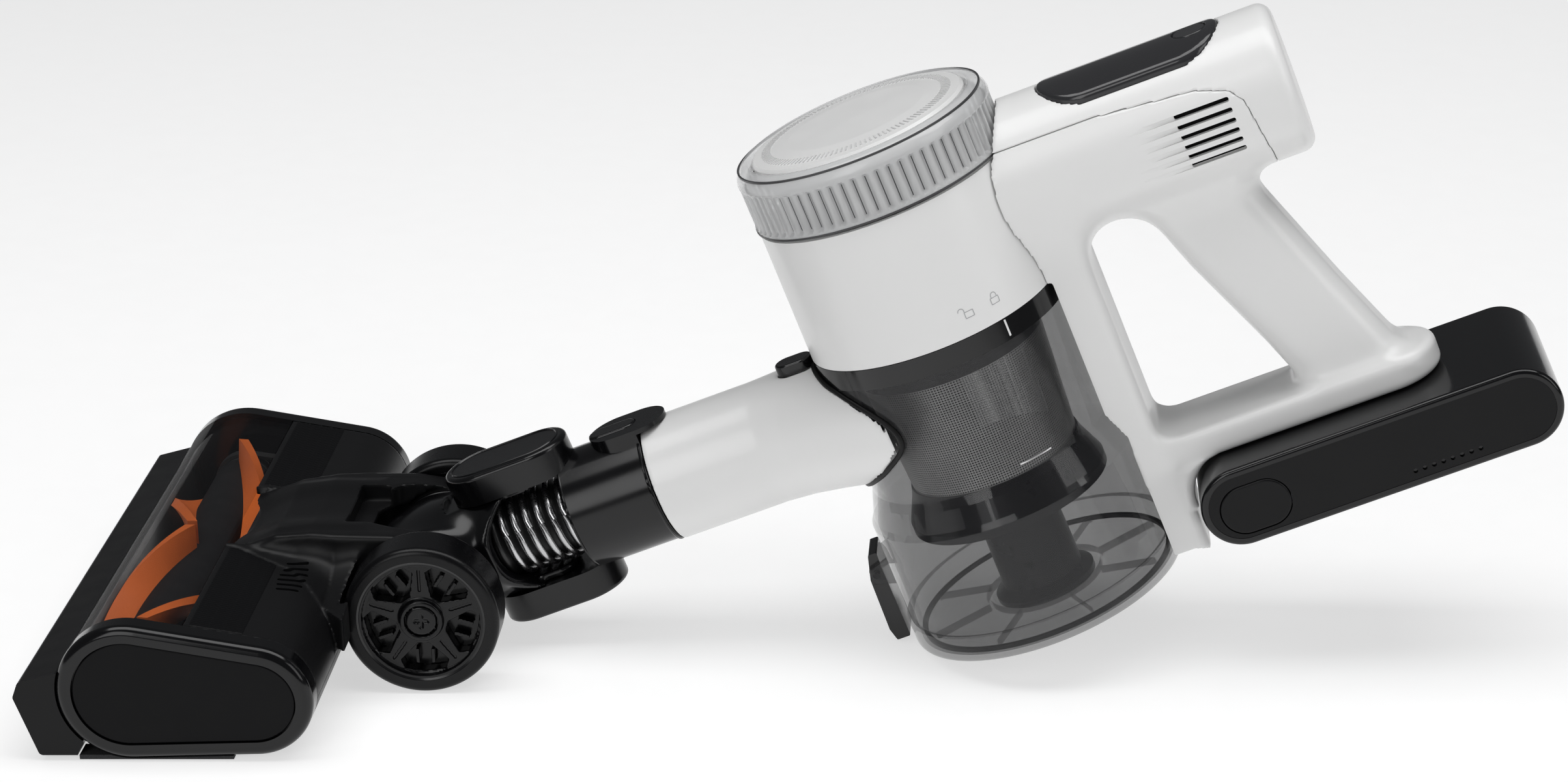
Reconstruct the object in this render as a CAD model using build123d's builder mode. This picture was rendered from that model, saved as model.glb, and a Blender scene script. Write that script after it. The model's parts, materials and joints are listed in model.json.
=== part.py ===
"""Cordless stick vacuum: powered floor head, swivel neck, dust bin, motor unit and battery.

Millimetres, +Z up, +X from the floor head towards the battery, floor at Z = 0.
The tool part (bin, motor unit, battery) leans back by PITCH and has its own frame, TOOL:
local x runs along the motor barrel, local z up the cyclone axis, local y to the far side.
"""

import os
from math import cos, radians, sin

from build123d import *

# ---------------------------------------------------------------- driving dimensions
WALL = 2.4  # moulded shell thickness
GAP = 0.3  # clearance between pieces that move on each other
RUN = 0.05  # radial running clearance of a shaft
SNUG = 0.02  # clearance between fixed pieces

HEAD_X = -284.15  # where the head's own x = 0 lies
HEAD_HALF = 122.5  # half the cleaning width
CAP_WIDTH = 10.5
BODY_HALF = HEAD_HALF - CAP_WIDTH
FRONT_ARC, FRONT_R = (21.0, 29.0), 28.5
REAR_ARC, REAR_R = (70.0, 25.2), 23.5
WINDOW_REAR = 42.5
SPLIT_Z = 22.0  # parting height of the upper and lower housing
ARM_X = 94.0  # where the two arms to the wheels leave the housing
MOUTH = (1.0, 41.0, 104.0)  # suction mouth: front, rear, half width
WALL_X = 47.0  # wall behind the brush chamber
BRUSH = (21.0, 27.5)  # brush axis
BRUSH_TIP_R, BRUSH_CORE_R = 23.3, 13.0
BRUSH_HALF = 100.0
MOTOR = (71.0, 26.0)  # brush motor axis
DRIVEN_R, DRIVE_R = 12.0, 6.0
BELT_Y, BELT_WIDTH = 103.0, 5.0

WHEEL = (126.5, 32.0)  # wheel and pitch axis
WHEEL_R, WHEEL_INNER, WHEEL_OUTER = 32.0, 38.2, 60.0
RIM_R = 26.4
AXLE_R = 4.0
CHEEK_INNER, CHEEK_OUTER = 24.9, 37.2
HUMP_TOP = 60.0
SLOT_FRONT = 90.5  # front of the slot that the neck swings through

PITCH = 20.9
LID_R, LID_ROUND = 60.5, 3.0
AXIS_U = 0.6  # cyclone axis along the tool's length
TOOL_X = 99.45
TOOL_Z = (LID_R - LID_ROUND - AXIS_U) * sin(radians(PITCH)) + LID_ROUND * (1 - cos(radians(PITCH)))

NECK_V = 104.7  # height of the neck and nozzle axis
YAW_U = -190.0  # swivel axis
NECK_R, NOZZLE_R = 25.5, 26.3
SOCKET_FRONT, SOCKET_REAR = -171.0, -133.5
SPIGOT_R, SPIGOT_LENGTH = 20.6, 46.0
LUG_IN, LUG_OUT = 18.6, 21.6  # lower neck's lugs, out from the axis
EAR_IN, EAR_MID, EAR_OUT = 21.9, 28.0, 34.8  # ears and their covers
EAR_R = 16.0
HOSE_R = 17.2
PIN_R = 3.0

FLARE_U = -84.0  # where the nozzle starts to widen
CUP_TOP, CUP_BOTTOM = 126.0, 12.3
CUP_R, CUP_WAIST_R, CUP_BASE_R = 54.0, 52.6, 59.2
LEDGE_V, WAIST_V = 57.0, 72.0
CUP_WALL = 2.2
RING_TOP = 135.0
HINGE = (64.0, 3.2)  # lid hinge, in the tool's side view
KNUCKLE_R = 2.6
LATCH_PIN = (-63.8, 36.0)
CYCLONE_R, CYCLONE_TOP_R, CYCLONE_TOP = 54.4, 53.8, 193.0
CAP_R, DISC_R = 54.6, 46.0

BARREL_V, BARREL_R = 177.0, 31.5
BARREL_FRONT, BARREL_REAR = 44.0, 172.5
COVER_V, COVER_U, COVER_ROUND = 195.0, 154.0, 18.0
POST_HALF, POST_REAR = 22.5, 69.5
HANDLE_HALF = 16.0
FOOT_TOP, FOOT_BOTTOM, FOOT_HALF, FOOT_REAR = 52.5, 39.6, 21.0, 190.0
BATTERY_FRONT, BATTERY_REAR = 76.0, 231.0
BATTERY_BOTTOM, BATTERY_TOP, BATTERY_HALF = 5.0, 39.0, 40.0
PANEL_FRONT, PANEL_REAR, PANEL_HALF = 73.0, 151.0, 19.8

os.makedirs("parts", exist_ok=True)

TOOL = Plane(
    origin=(TOOL_X, 0, TOOL_Z),
    x_dir=(cos(radians(PITCH)), 0, sin(radians(PITCH))),
    z_dir=(-sin(radians(PITCH)), 0, cos(radians(PITCH))),
)
CYCLONE_AXIS = Axis(TOOL.from_local_coords((AXIS_U, 0, 0)), TOOL.z_dir)


def head_side(y=0.0):
    """Plane across the head's width: x to the rear, y up."""
    return Plane(origin=(HEAD_X, y, 0), x_dir=(1, 0, 0), z_dir=(0, -1, 0))


def head_plan(z=0.0):
    """Horizontal plane in the head's own x."""
    return Plane(origin=(HEAD_X, 0, z))


def side(y=0.0, u=0.0):
    """Plane of the tool's length and height."""
    return Plane(origin=TOOL.from_local_coords((u, y, 0)), x_dir=TOOL.x_dir, z_dir=-TOOL.y_dir)


def across(u, v=0.0):
    """Plane square to the tool's length: x to the far side, y up the cyclone axis."""
    return Plane(origin=TOOL.from_local_coords((u, 0, v)), x_dir=TOOL.y_dir, z_dir=TOOL.x_dir)


def level(v, u=0.0):
    """Plane square to the cyclone axis."""
    return Plane(origin=TOOL.from_local_coords((u, 0, v)), x_dir=TOOL.x_dir, z_dir=TOOL.z_dir)


def save(name, shape):
    shape.label = name
    export_step(shape, f"parts/{name}.step")


def head_section(plane, grow=0.0):
    """Rounded section of the floor head: the hull of a large front and a smaller rear arc."""
    with BuildSketch(plane) as section:
        with Locations(FRONT_ARC):
            Circle(FRONT_R + grow)
        with Locations(REAR_ARC):
            Circle(REAR_R + grow)
        make_hull()
    return section.sketch


def turned(*points):
    """Solid of revolution about the cyclone axis from (radius, height) points."""
    with BuildPart() as solid:
        with BuildSketch(side(0, AXIS_U)):
            with BuildLine():
                Polyline(*points, close=True)
            make_face()
        revolve(axis=CYCLONE_AXIS)
    return solid.part


def stadium(plane, front, rear, half, low, high):
    """Upright block with round ends, from low to high above the plane."""
    with BuildPart() as block:
        with BuildSketch(plane.offset(low)):
            with Locations(((front + rear) / 2, 0)):
                SlotOverall(rear - front, 2 * half)
        extrude(amount=high - low)
    return block.part


# ---------------------------------------------------------------- floor head housings
with BuildPart() as hump_block:
    with BuildSketch(head_side()):
        with BuildLine():
            Polyline((44, 40), (44, 51), (78, HUMP_TOP), (124, HUMP_TOP - 2), (142, 32))
            Polyline((142, 32), (126.5, 14), (60, 8), (44, 40))
        make_face()
    extrude(amount=CHEEK_OUTER, both=True)
    with BuildSketch(head_plan(), mode=Mode.PRIVATE) as hump_plan:
        with BuildLine():
            Polyline((40, -30), (150, -CHEEK_OUTER), (150, CHEEK_OUTER), (40, 30), close=True)
        make_face()
    extrude(hump_plan.sketch, amount=100, mode=Mode.INTERSECT)
    fillet(edges().filter_by(Axis.Y).sort_by(Axis.X)[-1], 9)
    fillet(edges().filter_by(Axis.Y).sort_by(Axis.Z)[-1], 6)

with BuildPart() as hump_hollow:
    with BuildSketch(head_side()):
        with BuildLine():
            Polyline((50, 20), (50, 50), (78, HUMP_TOP - WALL), (150, HUMP_TOP - WALL), (150, 0))
            Polyline((150, 0), (80, 0), (50, 20))
        make_face()
    extrude(amount=CHEEK_INNER, both=True)

with BuildPart() as neck_slot:
    with BuildSketch(head_plan(20)):
        with Locations((SLOT_FRONT + 40, 0)):
            Rectangle(80, 2 * CHEEK_INNER)
        with Locations((SLOT_FRONT - 2, -4)):
            Rectangle(8, 12)
    extrude(amount=60)

with BuildPart() as head_shell:
    extrude(head_section(head_side()), amount=BODY_HALF, both=True)
    extrude(head_section(head_side(), -WALL), amount=BODY_HALF, both=True, mode=Mode.SUBTRACT)

with BuildPart() as upper_region:
    with BuildSketch(head_side()):
        with BuildLine():
            Polyline((WINDOW_REAR, 100), (WINDOW_REAR, SPLIT_Z), (ARM_X, SPLIT_Z), (ARM_X, 0))
            Polyline((ARM_X, 0), (160, 0), (160, 100), (WINDOW_REAR, 100))
        make_face()
    extrude(amount=BODY_HALF, both=True)

with BuildPart() as window_region:
    with BuildSketch(head_side()):
        with BuildLine():
            Polyline((WINDOW_REAR - 0.1, 100), (WINDOW_REAR - 0.1, 40), (10, 36), (-30, 36), (-30, 100))
            Line((-30, 100), (WINDOW_REAR - 0.1, 100))
        make_face()
    extrude(amount=BODY_HALF, both=True)

with BuildPart() as axle_holes:
    with BuildSketch(head_side()):
        with Locations(WHEEL):
            Circle(AXLE_R + SNUG)
    extrude(amount=WHEEL_OUTER, both=True)

with BuildPart() as vent_slots:
    with BuildSketch(head_plan(30)):
        for row in range(6):
            with Locations((74, -41 - 4.6 * row)):
                SlotOverall(12 - 1.2 * abs(row - 2.5), 1.8, rotation=12)
    extrude(amount=30)

with BuildPart() as upper_housing:
    add(head_shell.part)
    add(hump_block.part)
    extrude(head_section(head_side(), -WALL), amount=BODY_HALF, both=True, mode=Mode.SUBTRACT)
    add(upper_region.part, mode=Mode.INTERSECT)
    add(hump_hollow.part, mode=Mode.SUBTRACT)
    add(neck_slot.part, mode=Mode.SUBTRACT)
    add(vent_slots.part, mode=Mode.SUBTRACT)
    add(axle_holes.part, mode=Mode.SUBTRACT)
save("upper_housing", upper_housing.part)

with BuildPart() as brush_window:
    add(head_shell.part)
    add(window_region.part, mode=Mode.INTERSECT)
save("brush_window", brush_window.part)

with BuildPart() as mouth_cut:
    with BuildSketch(head_plan(-5)):
        with Locations(((MOUTH[0] + MOUTH[1]) / 2, 0)):
            Rectangle(MOUTH[1] - MOUTH[0], 2 * MOUTH[2])
    extrude(amount=20)

with BuildPart() as belt_passage:
    with BuildSketch(head_plan()):
        with Locations((WALL_X, BELT_Y + 2.5)):
            Rectangle(20, 17)
    extrude(amount=80)

with BuildPart() as chamber_wall:
    with BuildSketch(head_side()):
        with Locations((WALL_X + WALL / 2, 30)):
            Rectangle(WALL, 80)
    extrude(amount=BODY_HALF, both=True)
    extrude(head_section(head_side(), -WALL - SNUG), amount=BODY_HALF, both=True, mode=Mode.INTERSECT)
    with BuildSketch(head_side()):
        with Locations((WALL_X + WALL / 2, 11)):
            Rectangle(WALL, 18)
    extrude(amount=BODY_HALF, both=True)
    add(belt_passage.part, mode=Mode.SUBTRACT)
    with BuildSketch(Plane.YZ.offset(HEAD_X + WALL_X - 5)):
        with Locations((0, 29)):
            Circle(15.6)
    extrude(amount=20, mode=Mode.SUBTRACT)

with BuildPart() as lower_housing:
    add(head_shell.part)
    add(upper_region.part, mode=Mode.SUBTRACT)
    add(window_region.part, mode=Mode.SUBTRACT)
    add(mouth_cut.part, mode=Mode.SUBTRACT)
    add(chamber_wall.part)
    with BuildSketch(Plane.YZ.offset(HEAD_X + WALL_X + 10)):
        with Locations((0, 29)):
            Circle(15.3)
    extrude(amount=60, mode=Mode.SUBTRACT)
save("lower_housing", lower_housing.part.solids().sort_by(SortBy.VOLUME)[-1])


# ---------------------------------------------------------------- floor head trim
def end_cap(sign):
    """Rounded cap on one end of the head, with a shallow recess for its panel."""
    plane = head_side(sign * BODY_HALF)
    with BuildPart() as cap:
        extrude(head_section(plane), amount=-sign * CAP_WIDTH)
        fillet(faces().sort_by(Axis.Y)[-1 if sign > 0 else 0].edges(), 4)
        extrude(head_section(plane, -WALL), amount=-sign * (CAP_WIDTH - 4), mode=Mode.SUBTRACT)
        recess = head_side(sign * (HEAD_HALF - 2.4))
        extrude(head_section(recess, -6.5), amount=-sign * 5, mode=Mode.SUBTRACT)
    return cap.part


def end_panel(sign):
    """Matt panel that sits in an end cap's recess."""
    with BuildPart() as panel:
        extrude(head_section(head_side(sign * (HEAD_HALF - 2.35)), -6.8), amount=-sign * 1.8)
        fillet(faces().sort_by(Axis.Y)[-1 if sign > 0 else 0].edges(), 0.8)
    return panel.part


save("end_cap_near", end_cap(-1))
save("end_cap_far", end_cap(1))
save("end_panels", Compound([end_panel(-1), end_panel(1)]))

with BuildPart() as front_bumper:
    with BuildSketch(head_side()):
        with BuildLine():
            Polyline((-16, 2), (-24.5, 27), (-22, 33.5), (-7, 37.5), (14, 37.5), (-1, 2), close=True)
        make_face()
        fillet(vertices().sort_by(Axis.X)[:3], 2)
    extrude(amount=HEAD_HALF - 1.5, both=True)
    extrude(head_section(head_side(), 0.1), amount=HEAD_HALF, both=True, mode=Mode.SUBTRACT)
    with BuildSketch(Plane.YZ.offset(HEAD_X - 30)):
        with Locations((0, 38.5)):
            Rectangle(1.8 * HEAD_HALF, 3)
    extrude(amount=16, mode=Mode.SUBTRACT)
save("front_bumper", front_bumper.part.solids().sort_by(Axis.X)[0])

with BuildPart() as sole_strips:
    with BuildSketch(head_plan()):
        for sign in (-1, 1):
            with Locations((30, sign * (HEAD_HALF - 7))):
                Rectangle(61, 10)
    extrude(amount=1.9)
    extrude(head_section(head_side(), 0.05), amount=HEAD_HALF, both=True, mode=Mode.SUBTRACT)
with BuildPart() as sole_blocks:
    add([solid for solid in sole_strips.part.solids() if solid.volume > 100])
save("sole_strips", sole_blocks.part)

# ---------------------------------------------------------------- brush roll and its drive
with BuildPart() as brush_core:
    with BuildSketch(head_side()):
        with Locations(BRUSH):
            Circle(BRUSH_CORE_R)
    extrude(amount=BRUSH_HALF, both=True)
    fillet(edges(), 1.5)
    with BuildSketch(head_side()):
        with Locations(BRUSH):
            Circle(PIN_R)
    extrude(amount=BODY_HALF - 0.5, both=True)
save("brush_core", brush_core.part)


def strip_section(y, turn):
    """Radial section of a bristle strip, turned about the brush axis."""
    with BuildSketch(head_side(y)) as section:
        with Locations(Location((*BRUSH, 0), (0, 0, turn))):
            with Locations((0, (BRUSH_CORE_R + BRUSH_TIP_R) / 2 - 0.2)):
                Rectangle(4.2, BRUSH_TIP_R - BRUSH_CORE_R + 0.6)
    return section.sketch


def strip(sign, start):
    """One helical bristle strip from the middle of the brush to its end."""
    steps = 6
    with BuildPart() as bristles:
        for step in range(steps + 1):
            y = sign * (2 + (BRUSH_HALF - 5) * step / steps)
            add(strip_section(y, start + 115 * step / steps))
        loft()
        with BuildSketch(head_side()):
            with Locations(BRUSH):
                Circle(BRUSH_CORE_R + 0.02)
        extrude(amount=BRUSH_HALF, both=True, mode=Mode.SUBTRACT)
    return bristles.part


save("brush_strips", Compound([strip(sign, start) for sign in (-1, 1) for start in (0, 120, 240)]))

with BuildPart() as driven_pulley:
    with BuildSketch(head_side(BELT_Y - 1)):
        with Locations(BRUSH):
            Circle(DRIVEN_R)
            Circle(PIN_R + SNUG, mode=Mode.SUBTRACT)
    extrude(amount=-BELT_WIDTH - 2)
save("driven_pulley", driven_pulley.part)

with BuildPart() as drive_pulley:
    with BuildSketch(head_side(BELT_Y - 1)):
        with Locations(MOTOR):
            Circle(DRIVE_R)
    extrude(amount=-BELT_WIDTH - 2)
    with BuildSketch(head_side(BELT_Y - 10)):
        with Locations(MOTOR):
            Circle(1.6)
    extrude(amount=-10)
save("drive_pulley", drive_pulley.part)


def belt_outline(grow):
    """Path of the belt round both pulleys."""
    with BuildSketch(head_side(BELT_Y)) as outline:
        with Locations(BRUSH):
            Circle(DRIVEN_R + grow)
        with Locations(MOTOR):
            Circle(DRIVE_R + grow)
        make_hull()
    return outline.sketch


with BuildPart() as drive_belt:
    extrude(belt_outline(GAP + 1.4), amount=-BELT_WIDTH)
    extrude(belt_outline(GAP), amount=-BELT_WIDTH, mode=Mode.SUBTRACT)
save("drive_belt", drive_belt.part)

with BuildPart() as brush_bearings:
    with BuildSketch(head_side(-BODY_HALF)):
        with Locations(BRUSH):
            Circle(7)
            Circle(PIN_R + RUN, mode=Mode.SUBTRACT)
    extrude(amount=-6)
    with BuildSketch(head_side(BODY_HALF)):
        with Locations(BRUSH):
            Circle(7)
            Circle(PIN_R + RUN, mode=Mode.SUBTRACT)
    extrude(amount=1.4)
save("brush_bearings", brush_bearings.part)

with BuildPart() as brush_motor:
    with BuildSketch(head_side(36)):
        with Locations(MOTOR):
            Circle(13.6)
    extrude(amount=-(BELT_Y - 12 - 36))
    fillet(edges(), 1.5)
    with BuildSketch(head_side(BELT_Y - 12)):
        with Locations(MOTOR):
            Circle(4)
    extrude(amount=-2, both=True)
    with BuildSketch(head_side(BELT_Y - 10.5)):
        with Locations(MOTOR):
            Circle(1.6 + RUN)
    extrude(amount=4, mode=Mode.SUBTRACT)
save("brush_motor", brush_motor.part)

with BuildPart() as duct_hose:
    with BuildSketch(Plane.YZ.offset(HEAD_X + WALL_X + WALL)):
        with Locations((0, 29)):
            Circle(15)
            Circle(12.5, mode=Mode.SUBTRACT)
    extrude(amount=50)
save("duct_hose", duct_hose.part)

# ---------------------------------------------------------------- wheels
with BuildPart() as wheel_axles:
    for sign in (-1, 1):
        with BuildSketch(head_side(sign * 21.5)):
            with Locations(WHEEL):
                Circle(AXLE_R)
        extrude(amount=-sign * (WHEEL_OUTER - 3.5 - 21.5))
        with BuildSketch(head_side(sign * (WHEEL_OUTER - 3.5))):
            with Locations(WHEEL):
                Circle(6)
        extrude(amount=-sign * 2)
        with BuildSketch(head_side(sign * (WHEEL_OUTER - 1.4))):
            with Locations(WHEEL):
                Rectangle(6, 1.4)
                Rectangle(1.4, 6)
        extrude(amount=sign * 1.6, mode=Mode.SUBTRACT)
save("wheel_axles", wheel_axles.part)


def wheel_hub(sign):
    """Dished hub with a five-armed star between deep pockets."""
    outer = sign * (WHEEL_OUTER - 1.2)
    with BuildPart() as hub:
        with BuildSketch(head_side(outer)):
            with Locations(WHEEL):
                Circle(RIM_R)
        extrude(amount=sign * (WHEEL_OUTER - 1.2 - WHEEL_INNER - 0.6))
        with BuildSketch(head_side(outer)):
            with Locations(WHEEL):
                Circle(RIM_R - 2.2)
        extrude(amount=sign * 2.2, mode=Mode.SUBTRACT)
        with BuildSketch(head_side(outer)):
            with Locations(WHEEL):
                Circle(9)
        extrude(amount=sign * 4)
        with BuildSketch(head_side(outer)):
            with Locations(WHEEL):
                with PolarLocations(0, 5, start_angle=54):
                    with BuildLine():
                        Polyline(
                            (11.5, -1.5), (20.5, -10.5), (22, 0), (20.5, 10.5), (11.5, 1.5), close=True,
                        )
                    make_face()
        extrude(amount=sign * 8, mode=Mode.SUBTRACT)
        with BuildSketch(head_side(outer)):
            with Locations(WHEEL):
                Circle(6 + GAP)
        extrude(amount=sign * (2.3 + GAP), mode=Mode.SUBTRACT)
        with BuildSketch(head_side(outer)):
            with Locations(WHEEL):
                Circle(AXLE_R + RUN)
        extrude(amount=sign * 30, mode=Mode.SUBTRACT)
    return hub.part


def wheel_tyre(sign):
    """Soft tyre round the hub's rim."""
    with BuildPart() as tyre:
        with BuildSketch(head_side(sign * WHEEL_OUTER)):
            with Locations(WHEEL):
                Circle(WHEEL_R)
        extrude(amount=sign * (WHEEL_OUTER - WHEEL_INNER))
        fillet(edges().filter_by(GeomType.CIRCLE), 3)
        with BuildSketch(head_side(sign * WHEEL_OUTER)):
            with Locations(WHEEL):
                Circle(RIM_R + SNUG)
        extrude(amount=sign * (WHEEL_OUTER - WHEEL_INNER), mode=Mode.SUBTRACT)
    return tyre.part


for label, sign in (("near", -1), ("far", 1)):
    save(f"wheel_hub_{label}", wheel_hub(sign))
    save(f"wheel_tyre_{label}", wheel_tyre(sign))

# ---------------------------------------------------------------- neck
AXLE_U = TOOL.to_local_coords(Vector(HEAD_X + WHEEL[0], 0, WHEEL[1])).X
AXLE_V = TOOL.to_local_coords(Vector(HEAD_X + WHEEL[0], 0, WHEEL[1])).Z
NECK_HALF = CHEEK_INNER - GAP

with BuildPart() as lower_neck:
    with BuildSketch(side()):
        with Locations((AXLE_U, AXLE_V)):
            Circle(24)
    extrude(amount=NECK_HALF, both=True)
    fillet(edges().filter_by(GeomType.CIRCLE), 5)
    with BuildSketch(across(AXLE_U, NECK_V)):
        Circle(23)
    with BuildSketch(across(-222, NECK_V)):
        Circle(24)
    with BuildSketch(across(YAW_U - 16, NECK_V)):
        Circle(NECK_R)
    loft()
    for sign in (-1, 1):
        with BuildSketch(level(NECK_V + sign * LUG_OUT)):
            with Locations((YAW_U, 0)):
                Circle(34)
        extrude(amount=sign * 20, mode=Mode.SUBTRACT)
        with BuildSketch(level(NECK_V + sign * LUG_IN)):
            with Locations((YAW_U, 0)):
                Circle(10)
            with Locations((YAW_U - 10, 0)):
                Rectangle(20, 20)
        extrude(amount=sign * (LUG_OUT - LUG_IN))
    with BuildSketch(across(YAW_U - 10, NECK_V)):
        Circle(LUG_IN)
    extrude(amount=-66, mode=Mode.SUBTRACT)
    with BuildSketch(level(NECK_V)):
        with Locations((YAW_U, 0)):
            Circle(PIN_R + RUN)
    extrude(amount=40, both=True, mode=Mode.SUBTRACT)
    with BuildSketch(side()):
        with Locations((AXLE_U, AXLE_V)):
            Circle(AXLE_R + RUN)
    extrude(amount=60, both=True, mode=Mode.SUBTRACT)
save("lower_neck", lower_neck.part)

with BuildPart() as neck_hose:
    with BuildSketch(across(YAW_U - 28, NECK_V)):
        Circle(HOSE_R)
        Circle(HOSE_R - 2.2, mode=Mode.SUBTRACT)
    extrude(amount=28 + 18)
save("neck_hose", neck_hose.part)

with BuildPart() as neck_socket:
    with BuildSketch(across(SOCKET_FRONT, NECK_V)):
        Circle(NECK_R)
    extrude(amount=SOCKET_REAR - SOCKET_FRONT)
    with BuildSketch(across(SOCKET_REAR, NECK_V)):
        Circle(SPIGOT_R)
    extrude(amount=SPIGOT_LENGTH)
    with BuildSketch(level(NECK_V + 22)):
        with Locations((-138.3, 0)):
            SlotOverall(34, 25)
    extrude(amount=6.6)
    for sign in (-1, 1):
        with BuildSketch(level(NECK_V + sign * EAR_IN)):
            with Locations((YAW_U - 1.5, 0)):
                SlotOverall(55, 2 * EAR_R)
        extrude(amount=sign * (EAR_MID - EAR_IN))
    with BuildSketch(across(SOCKET_REAR, NECK_V)):
        Circle(NECK_R + 20)
        Circle(SPIGOT_R, mode=Mode.SUBTRACT)
        with Locations((0, NOZZLE_R + 20.3)):
            Rectangle(30, 40, mode=Mode.SUBTRACT)
    extrude(amount=60, mode=Mode.SUBTRACT)
    with BuildSketch(across(SOCKET_REAR, NECK_V)):
        Circle(NOZZLE_R + GAP)
        Circle(SPIGOT_R, mode=Mode.SUBTRACT)
    extrude(amount=60, mode=Mode.SUBTRACT)
    with BuildSketch(across(SOCKET_FRONT - 1, NECK_V)):
        Circle(19.6)
    extrude(amount=SOCKET_REAR - SOCKET_FRONT - 6, mode=Mode.SUBTRACT)
    with BuildSketch(across(SOCKET_FRONT, NECK_V)):
        Circle(17.6)
    extrude(amount=120, mode=Mode.SUBTRACT)
    with BuildSketch(level(NECK_V)):
        with Locations((YAW_U, 0)):
            Circle(PIN_R + SNUG)
    extrude(amount=EAR_MID, both=True, mode=Mode.SUBTRACT)
    add(stadium(level(NECK_V), -155.8, -134.2, 5.3, 23.0, 40), mode=Mode.SUBTRACT)
save("neck_socket", neck_socket.part)


def ear_cover(sign):
    """Rounded cover over one end of the swivel pin."""
    with BuildPart() as cover:
        with BuildSketch(level(NECK_V + sign * EAR_MID)):
            with Locations((YAW_U - 1.5, 0)):
                SlotOverall(55, 2 * EAR_R)
        extrude(amount=sign * (EAR_OUT - EAR_MID))
        fillet(faces().sort_by(Axis(TOOL.origin, TOOL.z_dir))[-1 if sign > 0 else 0].edges(), 2)
    return cover.part


save("ear_covers", Compound([ear_cover(-1), ear_cover(1)]))

with BuildPart() as swivel_pins:
    for sign in (-1, 1):
        with BuildSketch(level(NECK_V + sign * (LUG_IN + 0.1))):
            with Locations((YAW_U, 0)):
                Circle(PIN_R)
        extrude(amount=sign * (EAR_MID - LUG_IN - 0.1))
save("swivel_pins", swivel_pins.part)

with BuildPart() as socket_button:
    add(stadium(level(NECK_V), -155.5, -134.5, 5, 25.2, 29.2))
    fillet(faces().sort_by(Axis(TOOL.origin, TOOL.z_dir))[-1].edges(), 1)
save("socket_button", socket_button.part)

# ---------------------------------------------------------------- dust bin
def nozzle_loft(wall):
    """Duct that widens from round to a wide oval; wall makes the smaller inner one."""
    with BuildPart() as duct:
        with BuildSketch(across(FLARE_U - 8, NECK_V)):
            Circle(NOZZLE_R - 2 - wall / 2)
        with BuildSketch(across(-62, NECK_V - 1)):
            Ellipse(NOZZLE_R + 7 - wall, NOZZLE_R + 0.8 - wall)
        with BuildSketch(across(-40, NECK_V - 2.4)):
            Ellipse(42.5 - wall, NOZZLE_R + 2.2 - wall)
        with BuildSketch(across(-14, NECK_V - 3)):
            Ellipse(51 - wall, NOZZLE_R + 3 - wall)
        loft()
    return duct.part


CUP_OUTLINE = [
    (CUP_BASE_R, CUP_BOTTOM), (CUP_BASE_R - 0.6, LEDGE_V), (CUP_BASE_R - 2.2, LEDGE_V + 2.5),
    (CUP_WAIST_R + 1.6, WAIST_V - 4), (CUP_WAIST_R, WAIST_V), (CUP_R, CUP_TOP),
]
cup_envelope = turned((0, CUP_BOTTOM), *CUP_OUTLINE, (0, CUP_TOP))
ring_envelope = turned(
    (0, CUP_TOP - 0.1), (CYCLONE_R + 0.1, CUP_TOP - 0.1), (CYCLONE_R + 0.1, 260), (0, 260),
)

with BuildPart() as nozzle:
    with BuildSketch(across(SOCKET_REAR + 0.2, NECK_V)):
        Circle(NOZZLE_R)
    extrude(amount=FLARE_U - SOCKET_REAR - 0.2)
    add(nozzle_loft(0))
    add(nozzle_loft(WALL), mode=Mode.SUBTRACT)
    with BuildSketch(across(SOCKET_REAR, NECK_V)):
        Circle(SPIGOT_R + GAP)
    extrude(amount=FLARE_U - SOCKET_REAR + 1, mode=Mode.SUBTRACT)
    add(turned((0, 0), (CUP_R + 1.6, 0), (CUP_R + 1.6, CUP_TOP), (0, CUP_TOP)), mode=Mode.SUBTRACT)
    add(ring_envelope, mode=Mode.SUBTRACT)
    add(stadium(level(NECK_V), -71, -54, 5.8, 24, 40), mode=Mode.SUBTRACT)
save("nozzle", nozzle.part.solids().sort_by(SortBy.VOLUME)[-1])

with BuildPart() as nozzle_seal:
    add(nozzle_loft(0))
    add(nozzle_loft(WALL), mode=Mode.SUBTRACT)
    add(turned(
        (0, 0), (CUP_R + 1.5, 0), (CUP_R + 1.5, CUP_TOP - 0.2), (0, CUP_TOP - 0.2),
    ), mode=Mode.INTERSECT)
    add(cup_envelope, mode=Mode.SUBTRACT)
    with BuildSketch(across(0, 0)):
        Rectangle(200, 600)
    extrude(amount=100, mode=Mode.SUBTRACT)
save("nozzle_seal", nozzle_seal.part.solids().sort_by(SortBy.VOLUME)[-1])

with BuildPart() as nozzle_button:
    add(stadium(level(NECK_V), -70.7, -54.3, 5.5, 26.0, 30.6))
    fillet(faces().sort_by(Axis(TOOL.origin, TOOL.z_dir))[-1].edges(), 1)
save("nozzle_button", nozzle_button.part)


def across_hinge(low, high, *points):
    """Pair of mirrored plates in the tool's side view, between two distances from the middle."""
    with BuildPart() as plates:
        for sign in (-1, 1):
            with BuildSketch(side(sign * low)):
                with BuildLine():
                    Polyline(*points, close=True)
                make_face()
            extrude(amount=-sign * (high - low))
    return plates.part


def pin_hole(centre, radius):
    """Long cylinder across the tool, to cut a pin's hole."""
    with BuildPart() as hole:
        with BuildSketch(side()):
            with Locations(centre):
                Circle(radius)
        extrude(amount=30, both=True)
    return hole.part


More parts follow.
